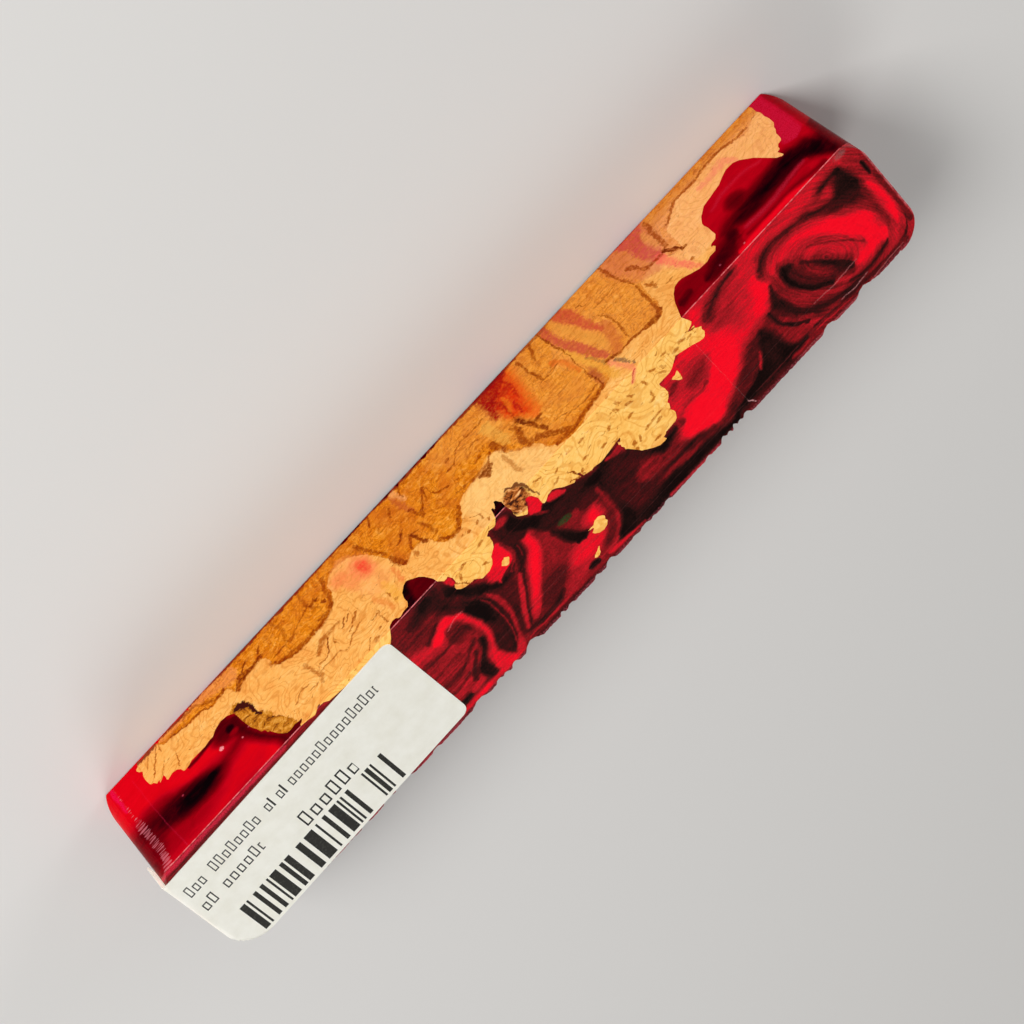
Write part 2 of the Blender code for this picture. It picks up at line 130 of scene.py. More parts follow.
# The scalloped film of resin that ran in under the burl: place along x and height, in mm
RESIN_FILM = [
    (64, 0.4), (56, 0.4), (55, 0.75), (54, 0.35), (53.2, 0.6), (52.6, 0.45), (52.2, 1), (51.6, 0.5),
    (50, 0.4), (48, 0.6), (46.7, 0.4), (46.4, 1), (46.1, 0.3), (43, 0.38), (40.6, 0.28), (38.5, 0.38),
    (36, 0.4), (33, 0.42), (29.9, 0.22), (28.6, 0.3), (26, 0.3), (23, 0.24), (21.1, 0.55), (20.1, 0.27),
    (19.3, 0.4), (18.6, 0.22), (17.1, 0.88), (16.5, 0.9), (16.2, 0.7), (15, 0.55), (14.2, 0.8),
    (13.8, 0.28), (13, 0.5), (12.3, 0.32), (10.8, 0.6), (10.2, 0.32), (9.4, 0.7), (8.7, 0.8), (7.8, 0.27),
    (7.3, 0.4), (7, 1.1), (6.7, 0.4), (6.3, 0.28), (5.8, 0.8), (5.4, 0.7), (5.1, 0.24), (4.3, 0.25),
    (4, 0.7), (3.4, 0.6), (2.8, 0.25), (2.4, 0.86), (1.9, 1.08), (1.5, 0.8), (1.1, 0.2), (0.6, 0.78),
    (0.3, 0.9), (-0.4, 0.5), (-1, 0.22), (-4, 0.3), (-7, 0.2), (-10, 0.35), (-14, 0.45), (-15.6, 0.3),
    (-19, 0.3), (-23, 0.4), (-27, 0.25), (-31, 0.4), (-36, 0.55), (-38.5, 0.45), (-41, 0.2), (-44.5, 0.25),
    (-46.4, 0.3), (-50, 0.14), (-55, 0.12), (-58.5, 0.2), (-64, 0.2)]
FILM_DEPTH = 30.0
FILM_REACH = 64.0

# Loose chips in the top: their outlines and depths, in mm
CHIPS = [
    ("wood_chip_1", 1.1, [(5.35, 25.62), (5, 25.2), (4.75, 25.05), (4.6, 25.1), (4.4, 24.92), (3.9, 25.4),
        (3.95, 25.6), (4.45, 26.2), (4.65, 26.25), (4.95, 26.15)]),
    ("wood_chip_2", 1.6, [(-5.3, 32.2), (-5.9, 32.15), (-6.3, 32.2), (-6.8, 31.8), (-7.5, 31.75),
        (-8, 32.1), (-8.2, 32.5), (-7.95, 32.9), (-8.05, 33.3), (-7.6, 33.8), (-6.9, 33.98), (-6.2, 33.8),
        (-5.7, 33.3), (-5.55, 32.95), (-6.1, 32.6), (-6.05, 32.45)]),
    ("wood_chip_3", 1, [(-3.45, 36.15), (-3.7, 35.85), (-4.2, 35.65), (-4.85, 35.25), (-4.95, 35.35),
        (-4.65, 35.75), (-4.55, 36.1), (-4.2, 36.35), (-3.75, 36.4)]),
    ("wood_chip_4", 0.6, [(-26.3, 25.15), (-26.6, 25), (-26.95, 25.05), (-27.5, 24.7), (-27.6, 24.85),
        (-27.55, 25.3), (-27.45, 26.1), (-27.3, 26.35), (-26.95, 26.1)])]

# The label: a sheet stuck on the top and folded down over the +X end
LABEL_WIDTH = 17.8 * MM
LABEL_LENGTH = 47.6 * MM
LABEL_THICKNESS = 0.12 * MM
LABEL_GAP = 0.02 * MM
LABEL_CORNER = 1.2 * MM
LABEL_FOLD = 0.35 * MM
LABEL_TURN = math.radians(1.25)
LABEL_FREE_END = 21.75 * MM
LABEL_SHIFT = -0.05 * MM
LABEL_STATIONS_ALONG = 120
LABEL_STATIONS_ACROSS = 60
LABEL_SHARP_FROM = 40
LABEL_MIDDLE = 45.0

# The label's print, in mm: rows as start, end, baseline, height, pitch and seed, and the block of stripes
DASH_ROWS = [(62.4, 27.3, -4.0, 1.9, 1.12, 3.0), (62.5, 51.5, -0.55, 1.95, 1.3, 41.0),
             (46.3, 36.4, 2.35, 2.48, 1.75, 90.0)]
STRIPES = (60.0, 32.9, 3.1, 8.8, 0.31)

FLOOR_SIZE = 3.0
FLOOR_GREY = (205, 203, 200)

# The softboxes: name, place, aim, size and power
SOFTBOXES = [
    ("front_softbox", (0.30, -0.42, 0.42), (0.0, 0.0, 0.01), 0.30, 4.0),
    ("end_softbox", (-0.46, -0.10, 0.16), (-0.05, 0.0, 0.01), 0.25, 0.9),
    ("back_softbox", (0.36, 0.34, 0.46), (0.0, 0.0, 0.01), 0.30, 1.4)]
WORLD_STRENGTH = 0.2


# Shaping

def only(piece):
    """Select one piece and nothing else."""
    bpy.ops.object.select_all(action="DESELECT")
    piece.select_set(True)
    bpy.context.view_layer.objects.active = piece


def thick_outline(name, outline, thickness):
    """A ring of points drawn to an outline, filled, and pulled up to a thickness about its plane."""
    bpy.ops.object.select_all(action="DESELECT")
    bpy.ops.mesh.primitive_circle_add(vertices=len(outline), radius=SIDE, fill_type="NGON")
    piece = bpy.context.object
    piece.name = piece.data.name = name
    for vert, (x, y) in zip(piece.data.vertices, outline):
        vert.co = (x, y, -thickness / 2)
    bpy.ops.object.mode_set(mode="EDIT")
    bpy.ops.mesh.select_all(action="SELECT")
    bpy.ops.mesh.extrude_region_move(TRANSFORM_OT_translate={"value": (0.0, 0.0, thickness)})
    bpy.ops.mesh.select_all(action="SELECT")
    bpy.ops.mesh.normals_make_consistent(inside=False)
    bpy.ops.object.mode_set(mode="OBJECT")
    return piece


def settle(piece, placing):
    """Turn and move a piece, with its place put into its mesh."""
    piece.matrix_world = placing
    only(piece)
    bpy.ops.object.transform_apply(location=True, rotation=True, scale=True)
    return piece


def copied(piece, name):
    """A copy with its own mesh."""
    only(piece)
    bpy.ops.object.duplicate()
    copy = bpy.context.object
    copy.name = copy.data.name = name
    return copy


def cut(piece, other, operation):
    """Cut or bound a piece by another for good."""
    only(piece)
    modifier = piece.modifiers.new(operation.lower(), "BOOLEAN")
    modifier.operation = operation
    modifier.solver = "EXACT"
    modifier.object = other
    bpy.ops.object.modifier_apply(modifier=modifier.name)


def smoothed(piece, degrees):
    """Shade a piece smooth except at its sharp edges, with flat faces kept flat beside small eases."""
    only(piece)
    bpy.ops.object.shade_smooth_by_angle(angle=math.radians(degrees))
    modifier = piece.modifiers.new("flat_faces", "WEIGHTED_NORMAL")
    modifier.keep_sharp = True
    modifier.weight = 100
    bpy.ops.object.modifier_apply(modifier=modifier.name)


def discard(*pieces):
    """Take away cutters that have done their work."""
    for piece in pieces:
        bpy.data.objects.remove(piece)


def arc(centre_x, centre_y, radius, start, end, steps=ARC_STEPS):
    """Points on an arc, with the angles in degrees."""
    angles = [math.radians(start + (end - start) * i / steps) for i in range(steps + 1)]
    return [(centre_x + radius * math.cos(a), centre_y + radius * math.sin(a)) for a in angles]


def sawn_back(x):
    """The bandsawn back in plan: fine blade marks and rounded bites."""
    marks = sum(math.sin(2 * math.pi * x / pitch) for pitch in BLADE_PITCHES)
    teeth = math.sin(2 * math.pi * x / TOOTH_PITCH + 2.0 * math.sin(2 * math.pi * x / TOOTH_WANDER))
    y = HALF_SIDE - SAW_MARK_DEPTH * (1.35 + 0.4 * marks + 0.5 * teeth)
    for place, half_width, depth in SAW_BITES:
        off = (x - place * MM) / (half_width * MM)
        if abs(off) < 1.0:
            y -= depth * MM * (1.0 - off * off) ** 1.5
    return y


def plan_outline():
    """The blank from above: moulded corners and the sawn back."""
    front_x = HALF_LENGTH - FRONT_CORNER_RADIUS
    meets_front = math.degrees(math.asin((HALF_SIDE - FRONT_CORNER_CENTRE) / FRONT_CORNER_RADIUS))
    back_x = HALF_LENGTH - BACK_CORNER_RADIUS
    back_y = HALF_SIDE - BACK_CORNER_RADIUS
    right = arc(front_x, -FRONT_CORNER_CENTRE, FRONT_CORNER_RADIUS, -meets_front, 0.0)
    right += arc(back_x, back_y, BACK_CORNER_RADIUS, 0.0, 90.0)
    left = [(-x, y) for x, y in reversed(right)]
    steps = int(2 * back_x / SAW_STEP)
    across = [back_x - 2 * back_x * i / steps for i in range(1, steps)]
    return right + [(x, sawn_back(x)) for x in across] + left


def side_outline():
    """The blank from the front: rounded bottom ends and eased top ends."""
    low = arc(HALF_LENGTH - BOTTOM_END_RADIUS, BOTTOM_END_RADIUS, BOTTOM_END_RADIUS, -90.0, 0.0)
    high = arc(HALF_LENGTH - TOP_END_EASE, SIDE - TOP_END_EASE, TOP_END_EASE, 0.0, 90.0, 5)
    right = low + high
    return right + [(-x, z) for x, z in reversed(right)]


def end_outline():
    """The blank along its length: eased lower edges, and a crisp ridge at the upper front."""
    r, e, crisp = BOTTOM_EDGE_RADIUS, TOP_BACK_EASE, RIDGE_EASE
    bottom = arc(-HALF_SIDE + r, r, r, 180.0, 270.0, 6) + arc(HALF_SIDE - r, r, r, 270.0, 360.0, 6)
    top = arc(HALF_SIDE - e, SIDE - e, e, 0.0, 90.0, 3)
    return bottom + top + [(-HALF_SIDE + crisp, SIDE), (-HALF_SIDE, SIDE - crisp)]


def squared_blank():
    """The whole blank's outside: three thick outlines, bounded by each other."""
    home = Matrix.Translation((BLANK_X, 0.0, 0.0))
    lying = Matrix.Rotation(math.radians(90.0), 4, "X")
    endways = Matrix.Rotation(math.radians(90.0), 4, "Z") @ lying
    blank = settle(thick_outline("squared_blank", plan_outline(), 2 * SIDE), home)
    side = settle(thick_outline("side_bound", side_outline(), 2 * SIDE), home @ lying)
    end = settle(thick_outline("end_bound", end_outline(), 2 * LENGTH), home @ endways)
    cut(blank, side, "INTERSECT")
    cut(blank, end, "INTERSECT")
    discard(side, end)
    return blank


def with_stations(outline, spacing):
    """A closed outline with points added on its longer sides, in mm."""
    stations = []
    for (x0, s0), (x1, s1) in zip(outline, outline[1:] + outline[:1]):
        steps = max(int(math.hypot(x1 - x0, s1 - s0) / spacing), 1)
        stations += [(x0 + (x1 - x0) * i / steps, s0 + (s1 - s0) * i / steps) for i in range(steps)]
    return stations


def swing(x, sway):
    """A plain sine along the blank, in mm."""
    height, pitch = sway
    return height * math.sin(2 * math.pi * x / pitch)


def burl_room():
    """The natural edge carried through the blank, wandering on its way to the hidden faces."""
    slope = math.cos(BURL_SLOPE)
    outline = [(x * MM, s * MM * slope) for x, s in with_stations(NATURAL_EDGE, EDGE_STATION)]
    room = thick_outline("burl_room", outline, 2 * BURL_REACH)
    only(room)
    bpy.ops.object.mode_set(mode="EDIT")
    for i in range(BURL_LEVELS):
        bpy.ops.mesh.select_all(action="SELECT")
        bpy.ops.mesh.bisect(plane_co=(0.0, 0.0, -BURL_REACH * i / BURL_LEVELS), plane_no=(0.0, 0.0, 1.0))
    bpy.ops.object.mode_set(mode="OBJECT")
    for vert in room.data.vertices:
        t = min(max(-vert.co.z / (SIDE * math.sin(BURL_SLOPE)), 0.0), 1.0)
        ease = t * t * (3.0 - 2.0 * t) * MM
        x = vert.co.x / MM
        vert.co.x += ease * swing(x, DRIFT_ALONG)
        vert.co.y += ease * (swing(x, DRIFT_UP) + swing(x, DRIFT_RIPPLE) - DRIFT_SINK)
    place = Matrix.Translation((BLANK_X, -HALF_SIDE, 0.0)) @ Matrix.Rotation(BURL_SLOPE, 4, "X")
    return settle(room, place)


def film_cutter():
    """A long bar with the resin film's scalloped upper surface."""
    below = [(-FILM_REACH, -FILM_DEPTH), (FILM_REACH, -FILM_DEPTH)]
    outline = [(x * MM, z * MM) for x, z in RESIN_FILM + below]
    lying = Matrix.Rotation(math.radians(90.0), 4, "X")
    home = Matrix.Translation((BLANK_X, 0.0, 0.0))
    return settle(thick_outline("film", outline, 2 * SIDE), home @ lying)


def chip(name, outline, depth, above):
    """A loose chip, flush with the top, or its pocket if it goes on above the top."""
    corners = [(x * MM, s * MM - SIDE - HALF_SIDE) for x, s in outline]
    home = Matrix.Translation((BLANK_X, 0.0, SIDE + (above - depth) / 2 * MM))
    return settle(thick_outline(name, corners, (depth + above) * MM), home)


def end_distance(x, y):
    """How far a point is past the labelled end, with the end's outward direction and its nearest point."""
    back_x = HALF_LENGTH - BACK_CORNER_RADIUS
    back_y = HALF_SIDE - BACK_CORNER_RADIUS
    if y <= back_y or x <= back_x:
        return x - HALF_LENGTH, Vector((1.0, 0.0)), Vector((HALF_LENGTH, y))
    off = Vector((x - back_x, y - back_y))
    out = off.normalized()
    return off.length - BACK_CORNER_RADIUS, out, Vector((back_x, back_y)) + out * BACK_CORNER_RADIUS


def folded_place(x, y):
    """Where a point of the flat label lies once it is stuck down and folded over the end."""
    reach = LABEL_GAP + LABEL_THICKNESS
    past, out, foot = end_distance(x, y)
    excess = past - (reach - LABEL_FOLD)
    if excess <= 0.0:
        return Vector((x, y, SIDE + reach))
    turn = min(excess / LABEL_FOLD, math.pi / 2)
    drop = LABEL_FOLD * (1.0 - math.cos(turn)) + max(excess - LABEL_FOLD * math.pi / 2, 0.0)
    flat = foot + out * (reach - LABEL_FOLD + LABEL_FOLD * math.sin(turn))
    return Vector((flat.x, flat.y, SIDE + reach - drop))


def corner_inset(across):
    """How much the rounded corner shortens the label at a place across its width."""
    into = abs(across) - (LABEL_WIDTH / 2 - LABEL_CORNER)
    if into <= 0.0:
        return 0.0
    return LABEL_CORNER - math.sqrt(max(LABEL_CORNER ** 2 - into ** 2, 0.0))


def paper_label():
    """A sheet drawn to the label's rounded outline, stuck down, folded over the end, and thickened."""
    bpy.ops.object.select_all(action="DESELECT")
    bpy.ops.mesh.primitive_grid_add(x_subdivisions=LABEL_STATIONS_ALONG, y_subdivisions=LABEL_STATIONS_ACROSS,
                                    size=2.0)
    label = bpy.context.object
    label.name = label.data.name = "paper_label"
    turned = Matrix.Rotation(LABEL_TURN, 2)
    for vert in label.data.vertices:
        share = (vert.co.x + 1.0) / 2
        across = LABEL_WIDTH / 2 * math.sin(vert.co.y * math.pi / 2)
        inset = corner_inset(across)
        along = inset + (LABEL_LENGTH - 2 * inset) * share
        spot = turned @ Vector((along, across)) + Vector((LABEL_FREE_END, LABEL_SHIFT))
        vert.co = folded_place(spot.x, spot.y) + Vector((BLANK_X, 0.0, 0.0))
    only(label)
    modifier = label.modifiers.new("paper", "SOLIDIFY")
    modifier.thickness = LABEL_THICKNESS
    modifier.offset = -1.0
    bpy.ops.object.modifier_apply(modifier=modifier.name)
    smoothed(label, LABEL_SHARP_FROM)
    return label


# Materials

class Tone:
    """A value, colour or vector on its way through a finish, with arithmetic for values."""

    def __init__(self, finish, socket):
        self.finish = finish
        self.socket = socket

    def __add__(self, other):
        return self.finish.maths("ADD", self, other)

    def __sub__(self, other):
        return self.finish.maths("SUBTRACT", self, other)

    def __rsub__(self, other):
        return self.finish.maths("SUBTRACT", other, self)

    def __mul__(self, other):
        return self.finish.maths("MULTIPLY", self, other)

    def __truediv__(self, other):
        return self.finish.maths("DIVIDE", self, other)

    def __abs__(self):
        return self.finish.maths("ABSOLUTE", self)

    def __gt__(self, other):
        return self.finish.maths("GREATER_THAN", self, other)

    def __lt__(self, other):
        return self.finish.maths("LESS_THAN", self, other)

    __radd__ = __add__
    __rmul__ = __mul__


class Finish:
    """A material's nodes."""

    def __init__(self, name, **constants):
        self.material = bpy.data.materials.new(name)
        self.material.use_nodes = True
        self.tree = self.material.node_tree
        self.shader = self.tree.nodes["Principled BSDF"]
        for socket, value in constants.items():
            self.shader.inputs[socket.replace("_", " ")].default_value = value

    def node(self, kind, settings=None, sockets=None, out=0):
        """Add a node: its settings are set first, and then its sockets are set or linked."""
        node = self.tree.nodes.new("ShaderNode" + kind)
        for key, value in (settings or {}).items():
            if key == "stops":
                self.set_stops(node.color_ramp, value)
            elif key == "points":
                self.set_points(node.mapping, value)
            else:
                setattr(node, key, value)
        for key, value in (sockets or {}).items():
            self.feed(node.inputs[key], value)
        return Tone(self, node.outputs[out])

    def feed(self, socket, value):
        """Link a tone to a socket, or set the socket."""
        if isinstance(value, Tone):
            self.tree.links.new(value.socket, socket)
        else:
            socket.default_value = value

    @staticmethod
    def set_stops(ramp, stops):
        """A colour ramp's stops: positions with sRGB colours from 0 to 255."""
        while len(ramp.elements) > 1:
            ramp.elements.remove(ramp.elements[-1])
        for i, (position, colour) in enumerate(stops):
            element = ramp.elements[0] if i == 0 else ramp.elements.new(position)
            element.position = position
            element.color = srgb(colour)

    @staticmethod
    def set_points(mapping, points):
        """A curve's points, which may lie anywhere."""
        mapping.use_clip = False
        mapping.extend = "HORIZONTAL"
        line = mapping.curves[0]
        for spare in range(len(points) - 2):
            line.points.new(0.5, 0.5)
        for point, (along, height) in zip(line.points, points):
            point.location = (along, height)
            point.handle_type = "AUTO_CLAMPED"
        mapping.update()

    def maths(self, operation, *parts):
        return self.node("Math", {"operation": operation}, dict(enumerate(parts)))

    def curve(self, value, points):
        """A smooth line through points, read at a value."""
        return self.node("FloatCurve", {"points": sorted(points)}, {"Value": value})

    def vector(self, x, y, z):
        return self.node("CombineXYZ", {}, {"X": x, "Y": y, "Z": z})

    def parts(self, vector):
        """The three parts of a vector."""
        first = self.node("SeparateXYZ", {}, {"Vector": vector})
        return [Tone(self, out) for out in first.socket.node.outputs]

    def scaled(self, vector, share):
        return self.node("VectorMath", {"operation": "SCALE"}, {0: vector, "Scale": share})

    def length(self, vector):
        return self.node("VectorMath", {"operation": "LENGTH"}, {0: vector}, "Value")

    def noise(self, vector, scale, detail=2.0, roughness=0.5, distortion=0.0, out=0):
        return self.node("TexNoise", {}, {"Vector": vector, "Scale": scale, "Detail": detail,
                                          "Roughness": roughness, "Distortion": distortion}, out)

    def soft(self, value, low, high):
        """0 below low and 1 above high, eased between them, or the other way round if low is higher."""
        return self.node("MapRange", {"interpolation_type": "SMOOTHSTEP", "clamp": False},
                         {"Value": value, "From Min": low, "From Max": high})

    def blend(self, low, high, share):
        """A value between two values."""
        return self.node("Mix", {"data_type": "FLOAT"}, {0: share, 2: low, 3: high})

    def tint(self, low, high, share, how="MIX"):
        """A colour between two colours, or one laid on another."""
        return self.node("Mix", {"data_type": "RGBA", "blend_type": how}, {0: share, 6: low, 7: high}, 2)

    def band(self, along, across, points, soft, ragged=0.0):
        """A brush stroke's mask. A point is its place along, its centre across, and its half width."""
        points = sorted(points)
        (first, c0, w0), (last, c1, w1) = points[0], points[-1]
        ends = [(first - max(w0, soft), c0, -soft), (last + max(w1, soft), c1, -soft)]
        stations = [ends[0]] + points + [ends[1]]
        centre = self.curve(along, [(a, c) for a, c, w in stations])
        half = self.curve(along, [(a, w) for a, c, w in stations])
        return self.soft(half - abs(across - centre) + ragged, -soft, soft)

    def slanted(self, sheet, x_share, s_share, shift):
        """A sum of the sheet's two coordinates."""
        across = self.maths("MULTIPLY_ADD", sheet.s, s_share, shift) if s_share else shift
        return self.maths("MULTIPLY_ADD", sheet.x, x_share, across) if x_share else across

    def spot(self, sheet, x, s, long_half, short_half, turn, soft):
        """The mask of a soft oval on the sheet, turned anticlockwise in x and s by degrees."""
        cos, sin = math.cos(math.radians(turn)), math.sin(math.radians(turn))
        along = self.slanted(sheet, cos / long_half, sin / long_half, -(x * cos + s * sin) / long_half)
        across = self.slanted(sheet, -sin / short_half, cos / short_half, (x * sin - s * cos) / short_half)
        squared = self.maths("MULTIPLY_ADD", across, across, along * along)
        edge = min(soft / min(long_half, short_half), 1.0)
        return self.soft(squared, (1.0 + edge) ** 2, (1.0 - edge) ** 2)

    def shape_mask(self, sheet, kind, shape, soft, ragged):
        """The mask of a stroke along x or along s, or of a spot."""
        if kind == "spot":
            return self.spot(sheet, *shape, soft)
        if kind == "x":
            return self.band(sheet.x, sheet.s, shape, soft, ragged)
        return self.band(sheet.s, sheet.x, shape, soft, ragged)

    def second_coat(self, share, sockets):
        """Mix a second shader over the first."""
        coat = self.node("BsdfPrincipled", {}, sockets)
        mixed = self.node("MixShader", {}, {0: share, 1: Tone(self, self.shader.outputs["BSDF"]), 2: coat})
        self.feed(self.tree.nodes["Material Output"].inputs["Surface"], mixed)


def srgb(colour):
    """An sRGB colour from 0 to 255 as the shader's linear colour."""
    linear = [(c / 255 / 12.92) if c <= 10.3 else ((c / 255 + 0.055) / 1.055) ** 2.4 for c in colour]
    return tuple(linear) + (1.0,)


class Sheet:
    """The front and top as one unfolded sheet in mm, wandering a little where it reaches the hidden faces."""

    def __init__(self, finish, waver):
        place = finish.scaled(finish.node("TexCoord", {}, {}, "Object"), 1.0 / MM)
        self.place = place
        out_x, out_y, self.z = finish.parts(place)
        true_x = out_x - BLANK_X / MM
        hidden = finish.soft((out_y + HALF_SIDE / MM - self.z) / (SIDE / MM), 0.0, 1.0)
        along = finish.maths("SINE", true_x * (2 * math.pi / DRIFT_ALONG[1])) * DRIFT_ALONG[0]
        up = (finish.maths("SINE", true_x * (2 * math.pi / DRIFT_UP[1])) * DRIFT_UP[0]
              + finish.maths("SINE", true_x * (2 * math.pi / DRIFT_RIPPLE[1])) * DRIFT_RIPPLE[0] - DRIFT_SINK)
        self.true_x = true_x
        self.true_s = self.z + out_y + HALF_SIDE / MM
        near_x, near_s = finish.parts(finish.noise(place, 0.7, 5.0, 0.62, 0.0, "Color"))[:2]
        wide_x, wide_s = finish.parts(finish.noise(place, 0.12, 1.0, 0.5, 0.0, "Color"))[:2]
        self.x = true_x - along * hidden + (near_x - 0.5) * waver + (wide_x - 0.5) * hidden * HIDDEN_WAVER
        self.s = (self.true_s - up * hidden * math.sqrt(2.0) + (near_s - 0.5) * waver
                  + (wide_s - 0.5) * hidden * HIDDEN_WAVER)


